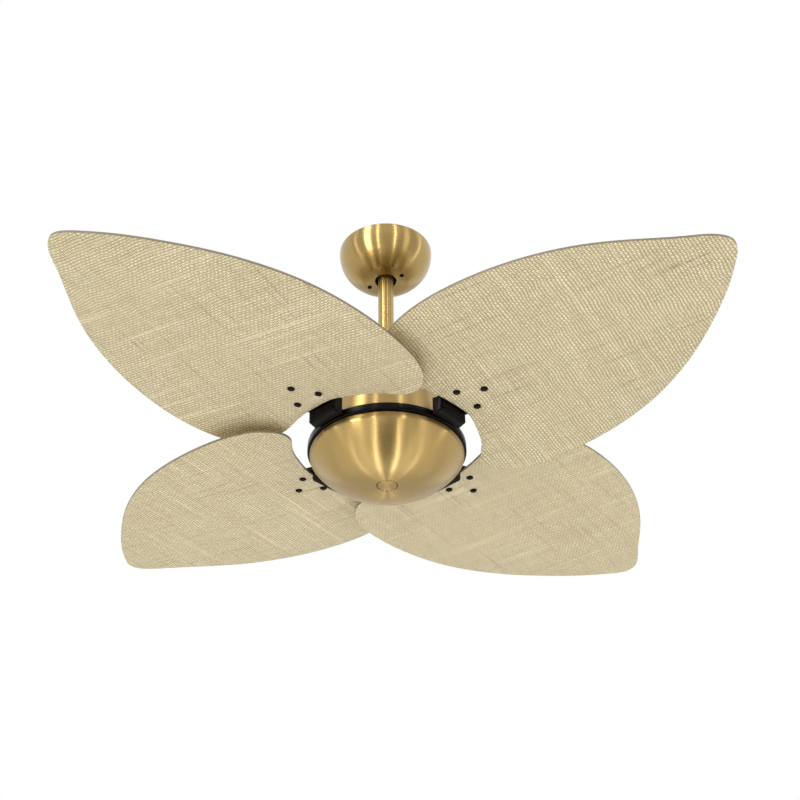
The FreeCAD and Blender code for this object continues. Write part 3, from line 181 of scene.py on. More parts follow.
def new_group(name: str, inputs: dict[str, str], outputs: dict[str, str]) -> tuple[
        bpy.types.NodeTree, bpy.types.Node, bpy.types.Node]:
    """Start a shader node group.

    Args:
        name: the group's name.
        inputs: socket names and their kinds.
        outputs: socket names and their kinds.

    Returns:
        The group, its input node and its output node.
    """
    tree = bpy.data.node_groups.new(name, "ShaderNodeTree")
    for direction, sockets in (("INPUT", inputs), ("OUTPUT", outputs)):
        for label, kind in sockets.items():
            tree.interface.new_socket(name=label, in_out=direction, socket_type=kind)
    return tree, tree.nodes.new("NodeGroupInput"), tree.nodes.new("NodeGroupOutput")


def weave_group() -> bpy.types.NodeTree:
    """Plain weave of threads of uneven width and tone.

    Returns:
        A group that takes a place counted in threads and gives the threads' height, their
        tone, a mask of the threads that run across and a random number for each stitch.
    """
    tree, entry, result = new_group(
        "plain_weave", {"Place": "NodeSocketVector", "Unevenness": "NodeSocketFloat"},
        {"Height": "NodeSocketFloat", "Tone": "NodeSocketFloat", "Across": "NodeSocketFloat",
         "Stitch": "NodeSocketFloat"})
    sheet = NodeSheet(tree)
    wander = sheet.add("ShaderNodeTexNoise")
    sheet.join(entry.outputs["Place"], wander.inputs["Vector"])
    wander.inputs["Scale"].default_value = WANDER_SCALE
    wander.inputs["Detail"].default_value = WANDER_DETAIL
    wander.inputs["Roughness"].default_value = WANDER_ROUGHNESS
    centred = sheet.add("ShaderNodeVectorMath", operation="SUBTRACT")
    sheet.join(wander.outputs["Color"], centred.inputs[0])
    centred.inputs[1].default_value = (0.5, 0.5, 0.5)
    scaled = sheet.add("ShaderNodeVectorMath", operation="SCALE")
    sheet.join(centred.outputs[0], scaled.inputs[0])
    sheet.join(entry.outputs["Unevenness"], scaled.inputs["Scale"])
    moved = sheet.add("ShaderNodeVectorMath", operation="ADD")
    sheet.join(entry.outputs["Place"], moved.inputs[0])
    sheet.join(scaled.outputs[0], moved.inputs[1])
    parts = sheet.add("ShaderNodeSeparateXYZ")
    sheet.join(moved.outputs[0], parts.inputs[0])
    counts, rounds = [], []
    for axis in (0, 1):
        counts.append(sheet.math("FLOOR", parts.outputs[axis]))
        inside = sheet.math("SUBTRACT", sheet.math("FRACT", parts.outputs[axis]), 0.5)
        square = sheet.math("MULTIPLY", inside, inside)
        rounds.append(sheet.math("SUBTRACT", 1.0, sheet.math("MULTIPLY", square, 4.0)))
    parity = sheet.math("MODULO", sheet.math("ADD", counts[0], counts[1]), 2.0)
    over = sheet.math("ABSOLUTE", parity)
    lift_across = sheet.math("ADD", sheet.math("MULTIPLY", rounds[1], 0.5), 0.5)
    lift_along = sheet.math("ADD", sheet.math("MULTIPLY", rounds[0], 0.5), 0.5)
    across = sheet.math("MULTIPLY", rounds[0], lift_across)
    along = sheet.math("MULTIPLY", rounds[1], lift_along)
    height = sheet.add("ShaderNodeMix", data_type="FLOAT")
    sheet.join(over, height.inputs[0])
    sheet.join(across, height.inputs[2])
    sheet.join(along, height.inputs[3])
    tones = []
    for axis, seed in enumerate(THREAD_SEEDS):
        white = sheet.add("ShaderNodeTexWhiteNoise", noise_dimensions="2D")
        pair = sheet.add("ShaderNodeCombineXYZ")
        sheet.join(counts[axis], pair.inputs[0])
        pair.inputs[1].default_value = seed
        sheet.join(pair.outputs[0], white.inputs["Vector"])
        tones.append(white.outputs["Value"])
    tone = sheet.add("ShaderNodeMix", data_type="FLOAT")
    sheet.join(over, tone.inputs[0])
    sheet.join(tones[0], tone.inputs[2])
    sheet.join(tones[1], tone.inputs[3])
    stitch = sheet.add("ShaderNodeTexWhiteNoise", noise_dimensions="2D")
    cell = sheet.add("ShaderNodeCombineXYZ")
    sheet.join(counts[0], cell.inputs[0])
    sheet.join(counts[1], cell.inputs[1])
    sheet.join(cell.outputs[0], stitch.inputs["Vector"])
    sheet.join(stitch.outputs["Value"], result.inputs["Stitch"])
    sheet.join(height.outputs[0], result.inputs["Height"])
    sheet.join(tone.outputs[0], result.inputs["Tone"])
    sheet.join(sheet.math("SUBTRACT", 1.0, over), result.inputs["Across"])
    return tree


def spun_group() -> bpy.types.NodeTree:
    """Fine circular lines that a lathe leaves on spun metal.

    Returns:
        A group that takes object coordinates and gives the lines and a slow smudge.
    """
    tree, entry, result = new_group(
        "spun_lines", {"Place": "NodeSocketVector"},
        {"Lines": "NodeSocketFloat", "Smudge": "NodeSocketFloat"})
    sheet = NodeSheet(tree)
    parts = sheet.add("ShaderNodeSeparateXYZ")
    sheet.join(entry.outputs["Place"], parts.inputs[0])
    squares = [sheet.math("MULTIPLY", parts.outputs[axis], parts.outputs[axis]) for axis in (0, 1)]
    across = sheet.math("SQRT", sheet.math("ADD", *squares))
    turn = sheet.math("ARCTAN2", parts.outputs[1], parts.outputs[0])
    place = sheet.add("ShaderNodeCombineXYZ")
    sheet.join(across, place.inputs[0])
    sheet.join(parts.outputs[2], place.inputs[1])
    sheet.join(sheet.math("MULTIPLY", turn, LINE_TURN_SHARE), place.inputs[2])
    sheet.join(sheet.noise(place.outputs[0], LINE_SCALE, 3.0, 0.7), result.inputs["Lines"])
    sheet.join(sheet.noise(entry.outputs["Place"], SMUDGE_SCALE, 3.0, 0.6), result.inputs["Smudge"])
    return tree


@dataclass(frozen=True)
class Finish:
    """Something that makes one material."""

    name: str

    def start(self) -> tuple[bpy.types.Material, NodeSheet, bpy.types.Node]:
        """Make an empty material.

        Returns:
            The material, its node sheet and its Principled shader.
        """
        material = bpy.data.materials.new(self.name)
        material.use_nodes = True
        sheet = NodeSheet(material.node_tree)
        return material, sheet, material.node_tree.nodes["Principled BSDF"]

    def bump(self, sheet: NodeSheet, shader: bpy.types.Node, height: object, depth: float,
             strength: float = 1.0) -> None:
        """Drive the shader's normal from a height.

        Args:
            sheet: the material's node sheet.
            shader: the Principled shader.
            height: socket with the height from 0 to 1.
            depth: how deep a height of 1 is, in metres.
            strength: how strongly it shows.
        """
        node = sheet.add("ShaderNodeBump")
        node.inputs["Strength"].default_value = strength
        node.inputs["Distance"].default_value = depth
        sheet.join(height, node.inputs["Height"])
        sheet.join(node.outputs["Normal"], shader.inputs["Normal"])


@dataclass(frozen=True)
class BrushedBrass(Finish):
    """Satin brass, brushed round on a lathe, under clear lacquer."""

    colour: tuple[float, float, float] = (0.3, 0.203, 0.068)
    warm: tuple[float, float, float] = (0.325, 0.222, 0.076)
    roughness: float = 0.28
    stretch: float = 0.95
    lacquer: float = 0.25
    lacquer_roughness: float = 0.1
    stretch_turn: float = 0.25
    line_change: float = 0.006
    smudge_change: tuple[float, float] = (-0.01, 0.02)
    relief: float = 0.00001
    relief_strength: float = 0.02

    def make(self, groups: dict[str, bpy.types.NodeTree]) -> bpy.types.Material:
        """Build the material.

        Args:
            groups: the shared node groups, by name.

        Returns:
            The material.
        """
        material, sheet, shader = self.start()
        place = sheet.add("ShaderNodeTexCoord").outputs["Object"]
        lines = sheet.add("ShaderNodeGroup", node_tree=groups["spun"])
        sheet.join(place, lines.inputs["Place"])
        share = sheet.spread(lines.outputs["Lines"], 0.3, 0.7, 0.0, 1.0)
        sheet.join(sheet.mix_colour(share, self.colour + (1.0,), self.warm + (1.0,)),
                   shader.inputs["Base Color"])
        shader.inputs["Metallic"].default_value = 1.0
        shader.inputs["Anisotropic"].default_value = self.stretch
        smudge = sheet.spread(lines.outputs["Smudge"], 0.35, 0.7, *self.smudge_change)
        fine = sheet.spread(lines.outputs["Lines"], 0.3, 0.7, self.roughness - self.line_change,
                            self.roughness + self.line_change)
        rough = sheet.math("ADD", smudge, fine)
        sheet.join(rough, shader.inputs["Roughness"])
        shader.inputs["Coat Weight"].default_value = self.lacquer
        shader.inputs["Coat Roughness"].default_value = self.lacquer_roughness
        shader.inputs["Anisotropic Rotation"].default_value = self.stretch_turn
        tangent = sheet.add("ShaderNodeTangent", direction_type="RADIAL", axis="Z")
        sheet.join(tangent.outputs[0], shader.inputs["Tangent"])
        self.bump(sheet, shader, lines.outputs["Lines"], self.relief, self.relief_strength)
        return material


@dataclass(frozen=True)
class WovenFibre(Finish):
    """Natural fibre in a plain weave, glued over a thin board."""

    pale: tuple[float, float, float] = (0.99, 0.87, 0.58)
    straw: tuple[float, float, float] = (0.74, 0.62, 0.37)
    # Dark fibre colour for the knots and the darker threads; it is also the painted shade in the hollows
    # of the weave.
    dark_fibre_and_shade: tuple[float, float, float] = (0.19, 0.14, 0.065)
    lean: float = -12.7
    pitch: tuple[float, float] = (0.0040, 0.0027)
    relief: float = 0.0006
    relief_strength: float = 0.9
    roughness: float = 0.62
    specular: float = 0.25
    unevenness: float = 2.6
    row_stretch: tuple[float, float, float] = (0.8, 0.03, 1.0)
    line_stretch: tuple[float, float, float] = (0.7, 0.011, 1.0)
    knot_stretch: tuple[float, float, float] = (0.035, 0.7, 1.0)
    thread_share: float = 0.3
    patch_share: float = 0.35
    row_share: float = 0.7
    stitch_share: float = 0.5
    tone_range: tuple[float, float] = (0.5, 1.3)
    # How strongly the painted shade darkens the hollows between threads.
    hollow_shade_share: float = 0.9
    under_share: float = 0.22
    line_share: float = 0.42
    knot_share: float = 0.55

    def streaks(self, sheet: NodeSheet, threads: bpy.types.NodeSocket,
                stretch: tuple[float, float, float], detail: float) -> bpy.types.NodeSocket:
        """Noise drawn out along the threads.

        Args:
            sheet: the material's node sheet.
            threads: socket with the place counted in threads.
            stretch: the noise's scale along each axis.
            detail: how many finer layers it has.

        Returns:
            The output socket.
        """
        place = sheet.add("ShaderNodeMapping")
        sheet.join(threads, place.inputs["Vector"])
        place.inputs["Scale"].default_value = stretch
        return sheet.noise(place.outputs[0], 1.0, detail, 0.5)

    def make(self, groups: dict[str, bpy.types.NodeTree]) -> bpy.types.Material:
        """Build the material.

        Args:
            groups: the shared node groups, by name.

        Returns:
            The material.
        """
        material, sheet, shader = self.start()
        place = sheet.add("ShaderNodeUVMap", uv_map="leaf").outputs[0]
        leaned = sheet.add("ShaderNodeVectorRotate", rotation_type="Z_AXIS")
        sheet.join(place, leaned.inputs["Vector"])
        leaned.inputs["Angle"].default_value = math.radians(self.lean)
        threads = sheet.add("ShaderNodeVectorMath", operation="MULTIPLY")
        sheet.join(leaned.outputs[0], threads.inputs[0])
        threads.inputs[1].default_value = (1.0 / self.pitch[0], 1.0 / self.pitch[1], 1.0)
        weave = sheet.add("ShaderNodeGroup", node_tree=groups["weave"])
        sheet.join(threads.outputs[0], weave.inputs["Place"])
        weave.inputs["Unevenness"].default_value = self.unevenness
        patch = sheet.noise(place, 9.0, 4.0, 0.6)
        rows = self.streaks(sheet, threads.outputs[0], self.row_stretch, 2.0)
        lines = self.streaks(sheet, threads.outputs[0], self.line_stretch, 1.0)
        lines = sheet.spread(lines, 0.6, 0.76, 0.0, self.line_share)
        tone = sheet.math("ADD", sheet.math("MULTIPLY", weave.outputs["Tone"], self.thread_share),
                          sheet.math("MULTIPLY", patch, self.patch_share))
        tone = sheet.math("ADD", tone, sheet.math("MULTIPLY", rows, self.row_share))
        tone = sheet.math("ADD", tone,
                          sheet.math("MULTIPLY", weave.outputs["Stitch"], self.stitch_share))
        base = sheet.mix_colour(sheet.spread(tone, *self.tone_range, 0.0, 1.0), self.straw + (1.0,),
                                self.pale + (1.0,))
        # Painted shade: where the weave's height is low, in the hollows between threads, the colour is
        # darkened towards the dark colour, standing in for the shade that falls there.
        hollow_shade = sheet.spread(weave.outputs["Height"], 0.05, 0.8, self.hollow_shade_share, 0.0)
        base = sheet.mix_colour(hollow_shade, base, self.dark_fibre_and_shade + (1.0,))
        under = sheet.math("MULTIPLY", sheet.math("SUBTRACT", 1.0, weave.outputs["Across"]),
                           self.under_share)
        base = sheet.mix_colour(under, base, self.dark_fibre_and_shade + (1.0,))
        base = sheet.mix_colour(lines, base, self.pale + (1.0,))
        knots = self.streaks(sheet, threads.outputs[0], self.knot_stretch, 1.0)
        knots = sheet.spread(knots, 0.58, 0.74, 0.0, self.knot_share)
        broken = sheet.spread(weave.outputs["Stitch"], 0.2, 0.8, 0.1, 1.0)
        knots = sheet.math("MULTIPLY", knots, broken)
        base = sheet.mix_colour(knots, base, self.dark_fibre_and_shade + (1.0,))
        sheet.join(base, shader.inputs["Base Color"])
        shader.inputs["Roughness"].default_value = self.roughness
        shader.inputs["Specular IOR Level"].default_value = self.specular
        self.bump(sheet, shader, weave.outputs["Height"], self.relief, self.relief_strength)
        return material


@dataclass(frozen=True)
class Grained(Finish):
    """A plain finish with fine grain, for paint, plastic, rubber and cast or plated metal."""

    colour: tuple[float, float, float] = (0.5, 0.5, 0.5)
    metallic: float = 0.0
    roughness: float = 0.4
    grain: float = 900.0
    depth: float = 0.00002
    specular: float = 0.5

    def make(self, groups: dict[str, bpy.types.NodeTree]) -> bpy.types.Material:
        """Build the material.

        Args:
            groups: the shared node groups, which this finish doesn't need.

        Returns:
            The material.
        """
        material, sheet, shader = self.start()
        place = sheet.add("ShaderNodeTexCoord").outputs["Object"]
        fine = sheet.noise(place, self.grain, 3.0, 0.6)
        broad = sheet.noise(place, self.grain / 18.0, 2.0, 0.5)
        dark = tuple(c * 0.86 for c in self.colour) + (1.0,)
        share = sheet.spread(broad, 0.35, 0.65, 0.0, 1.0)
        sheet.join(sheet.mix_colour(share, dark, self.colour + (1.0,)), shader.inputs["Base Color"])
        sheet.join(sheet.spread(fine, 0.3, 0.7, self.roughness * 0.85, self.roughness * 1.15),
                   shader.inputs["Roughness"])
        shader.inputs["Metallic"].default_value = self.metallic
        shader.inputs["Specular IOR Level"].default_value = self.specular
        self.bump(sheet, shader, fine, self.depth, 0.6)
        return material


class Workshop:
    """The finishes, by the record's slot names, and the ways to make a piece."""

    def __init__(self) -> None:
        """Build every finish once."""
        groups = {"weave": weave_group(), "spun": spun_group()}
        finishes = [
            BrushedBrass("brushed_brass"),
            WovenFibre("woven_fibre"),
            Grained("blade_edge", (0.24, 0.19, 0.115), 0.0, 0.6, 1400.0),
            Grained("black_enamel", (0.004, 0.003, 0.002), 0.0, 0.22, 500.0, 0.00001, 0.06),
            Grained("zinc_steel", (0.58, 0.59, 0.61), 1.0, 0.38, 700.0),
            Grained("ground_steel", (0.66, 0.67, 0.69), 1.0, 0.22, 1600.0, 0.000005),
            Grained("core_steel", (0.22, 0.22, 0.23), 1.0, 0.5, 1200.0),
            Grained("cast_aluminium", (0.55, 0.56, 0.57), 1.0, 0.5, 650.0, 0.00005),
            Grained("copper_winding", (0.55, 0.22, 0.09), 0.8, 0.35, 1500.0, 0.00004),
            Grained("black_rubber", (0.02, 0.02, 0.02), 0.0, 0.7, 1100.0, 0.00003),
            Grained("black_plastic", (0.02, 0.02, 0.02), 0.0, 0.45, 1000.0, 0.00001),
            Grained("terminal_brass", (0.62, 0.45, 0.18), 1.0, 0.3, 1500.0),
            Grained("lead_insulation", (0.6, 0.56, 0.44), 0.0, 0.5, 1200.0, 0.00001),
        ]
        self.materials = {finish.name: finish.make(groups) for finish in finishes}
        self.slots = {part["node"]: part["material_slot"] for part in frame["record"]["subparts"]}

    def dress(self, node: str) -> None:
        """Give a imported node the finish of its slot.

        Args:
            node: the node's name.
        """
        item = frame["nodes"][node]
        item.data.materials.clear()
        item.data.materials.append(self.materials[self.slots[node]])

    def finish(self, shape: bmesh.types.BMesh, name: str, body: Body, slot: str,
               stands_for: tuple[str, ...] = (), extra: tuple[str, ...] = (),
               sharp: float = 35.0) -> bpy.types.Object:
        """Turn a bmesh into a dressed piece that rides on its body.

        Args:
            shape: the finished shape in metres, in the fan's frame.
            name: the piece's name.
            body: the body that it rides on.
            slot: the record's slot and the name of its first material.
            stands_for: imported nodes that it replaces.
            extra: further materials, by name.
            sharp: angle between faces, in degrees, above which an edge stays sharp.

        Returns:
            The new object.
        """
        mesh = bpy.data.meshes.new(name)
        shape.to_mesh(mesh)
        shape.free()
        mesh.polygons.foreach_set("use_smooth", [True] * len(mesh.polygons))
        mesh.set_sharp_from_angle(angle=math.radians(sharp))
        for label in (slot,) + extra:
            mesh.materials.append(self.materials[label])
        piece = bpy.data.objects.new(name, mesh)
        bpy.context.scene.collection.objects.link(piece)
        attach(piece, body.value)
        if stands_for:
            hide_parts(*stands_for)
        log.info("%s: %d faces", name, len(mesh.polygons))
        return piece

    def copied(self, node: str) -> bmesh.types.BMesh:
        """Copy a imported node's shape with its doubled points merged.

        Args:
            node: the node's name.

        Returns:
            The shape, in metres.
        """
        shape = bmesh.new()
        shape.from_mesh(frame["nodes"][node].data)
        bmesh.ops.remove_doubles(shape, verts=shape.verts, dist=MERGE)
        return shape

    def softened(self, node: str, body: Body, width: float, segments: int = 2) -> bpy.types.Object:
        """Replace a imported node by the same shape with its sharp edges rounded.

        Args:
            node: the node's name.
            body: the body that it rides on.
            width: how far the rounding reaches from each edge, in metres.
            segments: how many faces make the rounding.

        Returns:
            The new object.
        """
        shape = self.copied(node)
        bmesh.ops.dissolve_limit(shape, angle_limit=math.radians(FLAT_ANGLE), verts=shape.verts,
                                 edges=shape.edges)
        hard = [edge for edge in shape.edges
                if len(edge.link_faces) == 2 and edge.calc_face_angle() > math.radians(HARD_ANGLE)]
        bmesh.ops.bevel(shape, geom=hard, offset=width, segments=segments, profile=0.5,
                        affect="EDGES", material=-1, clamp_overlap=True)
        slot = self.slots[node]
        return self.finish(shape, node + "_soft", body, slot, (node,), sharp=40.0)


def arc(across: float, up: float, radius: float, first: float, last: float, count: int) -> Profile:
    """Points of an arc.

    Args:
        across: the centre's distance from the axis.
        up: the centre's height.
        radius: the arc's radius.
        first: the first angle in degrees, from straight out, positive upwards.
        last: the last angle in degrees.
        count: how many runs the arc has.

    Returns:
        The points, both ends with them.
    """
    steps = [math.radians(first + (last - first) * i / count) for i in range(count + 1)]
    return [(across + radius * math.cos(a), up + radius * math.sin(a)) for a in steps]


def spun(profile: Profile, steps: int = 160, closed: bool = True) -> bmesh.types.BMesh:
    """Spin a profile of points in millimetres about the upright axis.

    Args:
        profile: distances from the axis and heights, in order.
        steps: how many faces go round.
        closed: whether the last point joins the first.

    Returns:
        The shape in metres, with its faces outwards.
    """
    shape = bmesh.new()
    line = [shape.verts.new((across * MM, 0.0, up * MM)) for across, up in profile]
    pairs = list(zip(line, line[1:]))
    if closed:
        pairs.append((line[-1], line[0]))
    edges = [shape.edges.new(pair) for pair in pairs]
    bmesh.ops.spin(shape, geom=line + edges, cent=(0.0, 0.0, 0.0), axis=(0.0, 0.0, 1.0),
                   angle=2.0 * math.pi, steps=steps, use_merge=True)
    bmesh.ops.remove_doubles(shape, verts=shape.verts, dist=SPIN_MERGE)
    bmesh.ops.recalc_face_normals(shape, faces=shape.faces)
    return shape


@dataclass
class CeilingMount:
    """The canopy against the ceiling and what hides in it, in millimetres."""

    rim_radius: float = 64.0
    bowl_radius: float = 50.0
    rim_drop: float = 1.0
    lip: float = 3.0
    base_radius: float = 31.0
    hole_radius: float = 14.9
    wall: float = 1.2
    edge_round: float = 0.5
    fitting_round: float = 0.25
    plain: tuple[str, ...] = ("hanger_bushes", "terminal_screws")
    eased: tuple[str, ...] = ("ceiling_bracket", "hanger_bolt", "hanger_nut", "hanger_split_pin",
                              "terminal_block", "canopy_screws")

    def build(self, shop: Workshop) -> None:
        """Build the canopy and dress its fittings.

        Args:
            shop: the workshop with the finishes.
        """
        centre = self.rim_radius - self.bowl_radius
        level = -self.rim_drop - self.lip
        end = math.degrees(math.acos((self.base_radius - centre) / self.bowl_radius))
        base = level - self.bowl_radius * math.sin(math.radians(end))
        inner = self.bowl_radius - self.wall
        inner_end = math.degrees(math.asin((level - base - self.wall) / inner))
        ease = self.edge_round
        profile = [(self.rim_radius - ease, -self.rim_drop), (self.rim_radius, -self.rim_drop - ease)]
        profile += arc(centre, level, self.bowl_radius, 0.0, -end, 48)
        profile += [(self.hole_radius + ease, base), (self.hole_radius, base + ease),
                    (self.hole_radius, base + self.wall)]
        profile += arc(centre, level, inner, -inner_end, 0.0, 40)
        profile.append((self.rim_radius - self.wall, -self.rim_drop))
        shop.finish(spun(profile), "canopy_bowl", Body.CEILING, "brushed_brass", ("canopy",))
        for node in self.eased:
            shop.softened(node, Body.CEILING, self.fitting_round * MM)
        for node in self.plain:
            shop.dress(node)


@dataclass
class HungFrame:
    """The rod, the housing and the dome, which hang still, in millimetres."""

    blade_plane: float = -327.0
    rod_radius: float = 10.65
    rod_wall: float = 2.5
    rod_top: float = -14.0
    rod_foot: float = -249.0
    cover_radius: float = 29.5
    cover_height: float = 70.0
    cover_shoulder: float = 17.0
    cover_wall: float = 1.0
    cover_hole: float = 11.05
    rim_radius: float = 97.0
    rim_rise: float = 1.6
    flare: float = 10.5
    waist_rise: float = 34.0
    shoulder: float = 27.0
    housing_wall: float = 1.2
    housing_hole: float = 15.5
    dome_radius: float = 98.5
    dome_drop: float = 10.2
    dome_lip: float = 4.0
    dome_round: float = 8.0
    dome_depth: float = 42.64
    dome_flat: float = 21.0
    dome_wall: float = 1.3
    recess_radius: float = 13.4
    recess_depth: float = 10.0
    shaft_gap_radius: float = 8.55
    cap_radius: float = 12.5
    cap_thickness: float = 2.0
    cap_edge: float = 0.5
    cap_skirt: float = 2.5
    cap_wall: float = 1.2
    ease: float = 0.45
    steps: int = 192
    plain: tuple[str, ...] = ("rod_coupling", "coupling_bolt", "coupling_nut", "coupling_split_pin",
                              "shaft_grub_screws", "motor_shaft", "stator_core", "stator_windings",
                              "motor_leads", "upper_bearing_inner", "lower_bearing_inner",
                              "housing_screws", "dome_spacer", "dome_nut")

    def rod(self) -> Profile:
        """Profile of the rod."""
        inner = self.rod_radius - self.rod_wall
        return [(inner, self.rod_foot), (self.rod_radius, self.rod_foot),
                (self.rod_radius, self.rod_top - self.ease), (self.rod_radius - self.ease, self.rod_top),
                (inner, self.rod_top)]

    def housing_top(self) -> float:
        """Height of the housing's flat top above the blade plane."""
        return self.waist_rise + self.shoulder * (1.0 - math.sin(math.radians(self.flare)))

    def cover(self) -> Profile:
        """Profile of the coupling's cover, counted from the blade plane."""
        foot = self.housing_top()
        top = foot + self.cover_height
        inner = self.cover_radius - self.cover_wall
        centre = self.cover_radius - self.cover_shoulder
        profile = [(self.cover_radius, foot)]
        profile += arc(centre, top - self.cover_shoulder, self.cover_shoulder, 0.0, 90.0, 24)
        profile += [(self.cover_hole, top), (self.cover_hole, top - self.cover_wall)]
        profile += arc(centre, top - self.cover_shoulder, self.cover_shoulder - self.cover_wall,
                       90.0, 0.0, 20)
        return profile + [(inner, foot)]

    def housing(self) -> Profile:
        """Profile of the upper housing, counted from the blade plane."""
        tilt = math.radians(self.flare)
        waist = self.rim_radius - (self.waist_rise - self.rim_rise) * math.tan(tilt)
        centre = waist - self.shoulder * math.cos(tilt)
        level = self.waist_rise - self.shoulder * math.sin(tilt)
        top = self.housing_top()
        slant = self.housing_wall / math.cos(tilt)
        eased = self.rim_rise + self.ease
        profile = [(self.rim_radius - self.ease, self.rim_rise),
                   (self.rim_radius - self.ease * math.tan(tilt), eased)]
        profile += arc(centre, level, self.shoulder, self.flare, 90.0, 36)
        profile += [(self.housing_hole, top), (self.housing_hole, top - self.housing_wall)]
        profile += arc(centre, level, self.shoulder - self.housing_wall, 90.0, self.flare, 28)
        return profile + [(self.rim_radius - slant, self.rim_rise)]

    def dome(self) -> tuple[Profile, float]:
        """Profile of the dome, counted from the blade plane, and the height of its flat."""
        lip_end = -self.dome_drop - self.dome_lip
        across = self.dome_radius - self.dome_round
        span = across - self.dome_flat
        fall = self.dome_depth - self.dome_round
        bowl = self.dome_round + (fall * fall + span * span) / (2.0 * fall)
        angle = math.degrees(math.acos(span / (bowl - self.dome_round)))
        base = lip_end - self.dome_depth
        level = base + bowl
        floor = base + self.recess_depth
        profile = [(self.dome_radius - self.ease, -self.dome_drop),
                   (self.dome_radius, -self.dome_drop - self.ease)]
        profile += arc(across, lip_end, self.dome_round, 0.0, -angle, 12)
        profile += arc(self.dome_flat, level, bowl, -angle, -90.0, 48)[1:]
        profile += [(self.recess_radius + self.ease, base), (self.recess_radius, base + self.ease),
                    (self.recess_radius, floor), (self.shaft_gap_radius, floor),
                    (self.shaft_gap_radius, floor + self.dome_wall),
                    (self.recess_radius + self.dome_wall, floor + self.dome_wall),
                    (self.recess_radius + self.dome_wall, base + self.dome_wall)]
        profile += arc(self.dome_flat, level, bowl - self.dome_wall, -90.0, -angle, 40)
        profile += arc(across, lip_end, self.dome_round - self.dome_wall, -angle, 0.0, 10)[1:]
        return profile + [(self.dome_radius - self.dome_wall, -self.dome_drop)], base

    def raised(self, profile: Profile) -> Profile:
        """Move a profile from the blade plane's heights to the fan's.

        Args:
            profile: the profile, counted from the blade plane.

        Returns:
            The profile, counted from the ceiling.
        """
        return [(across, up + self.blade_plane) for across, up in profile]

    def build(self, shop: Workshop) -> None:
        """Build the spun pieces and dress the rest.

        Args:
            shop: the workshop with the finishes.
        """
        dome, base = self.dome()
        top = base + self.cap_thickness
        rim = top + self.cap_skirt
        inner = self.cap_radius - self.cap_wall
        cap = [(0.0, base), (self.cap_radius - self.cap_edge, base),
               (self.cap_radius, base + self.cap_edge), (self.cap_radius, rim), (inner, rim),
               (inner, top), (0.0, top)]
        pieces = (("rod_tube", self.rod(), "down_rod"),
                  ("coupling_cup", self.raised(self.cover()), "coupling_cover"),
                  ("housing_bell", self.raised(self.housing()), "upper_housing"),
                  ("dome_bowl", self.raised(dome), "dome_cover"),
                  ("centre_cap", self.raised(cap), "dome_cap"))
        for name, profile, node in pieces:
            closed = profile[0][0] > 0.0
            shop.finish(spun(profile, self.steps, closed), name, Body.HUNG, "brushed_brass", (node,))
        for node in self.plain:
            shop.dress(node)


@dataclass
class LeafBlades:
    """The four woven leaves, their irons and all that turns with them."""

    count: int = 4
    first_azimuth: float = 45.0
    cone: float = 3.2
    pitch: float = 3.6
    height: float = -327.0
    edge_round: float = 1.1
    flat_cosine: float = 0.97
    flat_angle: float = 0.5
    hard_angle: float = 60.0
    iron_round: float = 0.6
    small_round: float = 0.3
    map_step: float = 0.613
    eased: tuple[str, ...] = ("rotor_ring", "blade_screws", "iron_screws")
    plain: tuple[str, ...] = ("rotor_upper_shell", "rotor_lower_shell", "rotor_shell_screws", "rotor_cage",
                              "upper_bearing_outer", "lower_bearing_outer", "upper_bearing_balls",
                              "lower_bearing_balls")

    def place(self, index: int) -> Matrix:
        """Where a blade's own frame stands in the fan.

        Args:
            index: which blade, from 0.

        Returns:
            The frame's placement.
        """
        spin = Matrix.Rotation(math.radians(self.first_azimuth + 360.0 * index / self.count), 4, "Z")
        cone = Matrix.Rotation(-math.radians(self.cone), 4, "Y")
        pitch = Matrix.Rotation(-math.radians(self.pitch), 4, "X")
        return Matrix.Translation((0.0, 0.0, self.height * MM)) @ spin @ cone @ pitch

    def leaf(self, shop: Workshop, index: int) -> None:
        """Build one blade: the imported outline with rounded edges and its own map.

        Args:
            shop: the workshop with the finishes.
            index: which blade, from 0.
        """
        node = "blade_%d" % (index + 1)
        place = self.place(index)
        shape = shop.copied(node)
        bmesh.ops.transform(shape, matrix=place.inverted(), verts=shape.verts)
        bmesh.ops.dissolve_limit(shape, angle_limit=math.radians(self.flat_angle), verts=shape.verts,
                                 edges=shape.edges)
        hard = [edge for edge in shape.edges
                if len(edge.link_faces) == 2 and edge.calc_face_angle() > math.radians(self.hard_angle)]
        bmesh.ops.bevel(shape, geom=hard, offset=self.edge_round * MM, segments=2, profile=0.5,
                        affect="EDGES", material=-1, clamp_overlap=True)
        shape.normal_update()
        map_layer = shape.loops.layers.uv.new("leaf")
        turn = Vector((0.0, self.map_step * (index + 1), 0.0))
        for face in shape.faces:
            face.material_index = 1 if abs(face.normal.z) < self.flat_cosine else 0
            for loop in face.loops:
                spot = loop.vert.co + turn
                loop[map_layer].uv = (spot.x, spot.y)
        bmesh.ops.transform(shape, matrix=place, verts=shape.verts)
        shop.finish(shape, "leaf_%d" % (index + 1), Body.ROTOR, "woven_fibre", (node,),
                    ("blade_edge",))

    def build(self, shop: Workshop) -> None:
        """Build the leaves and dress the turning parts.

        Args:
            shop: the workshop with the finishes.
        """
        for index in range(self.count):
            self.leaf(shop, index)
            shop.softened("blade_iron_%d" % (index + 1), Body.ROTOR, self.iron_round * MM, 3)
        for node in self.eased:
            shop.softened(node, Body.ROTOR, self.small_round * MM)
        for node in self.plain:
            shop.dress(node)


@dataclass(frozen=True)
class Streak:
    """One strip of light: its turn about the fan in degrees, its width in metres and its glow."""

    turn: float
    width: float
    glow: float


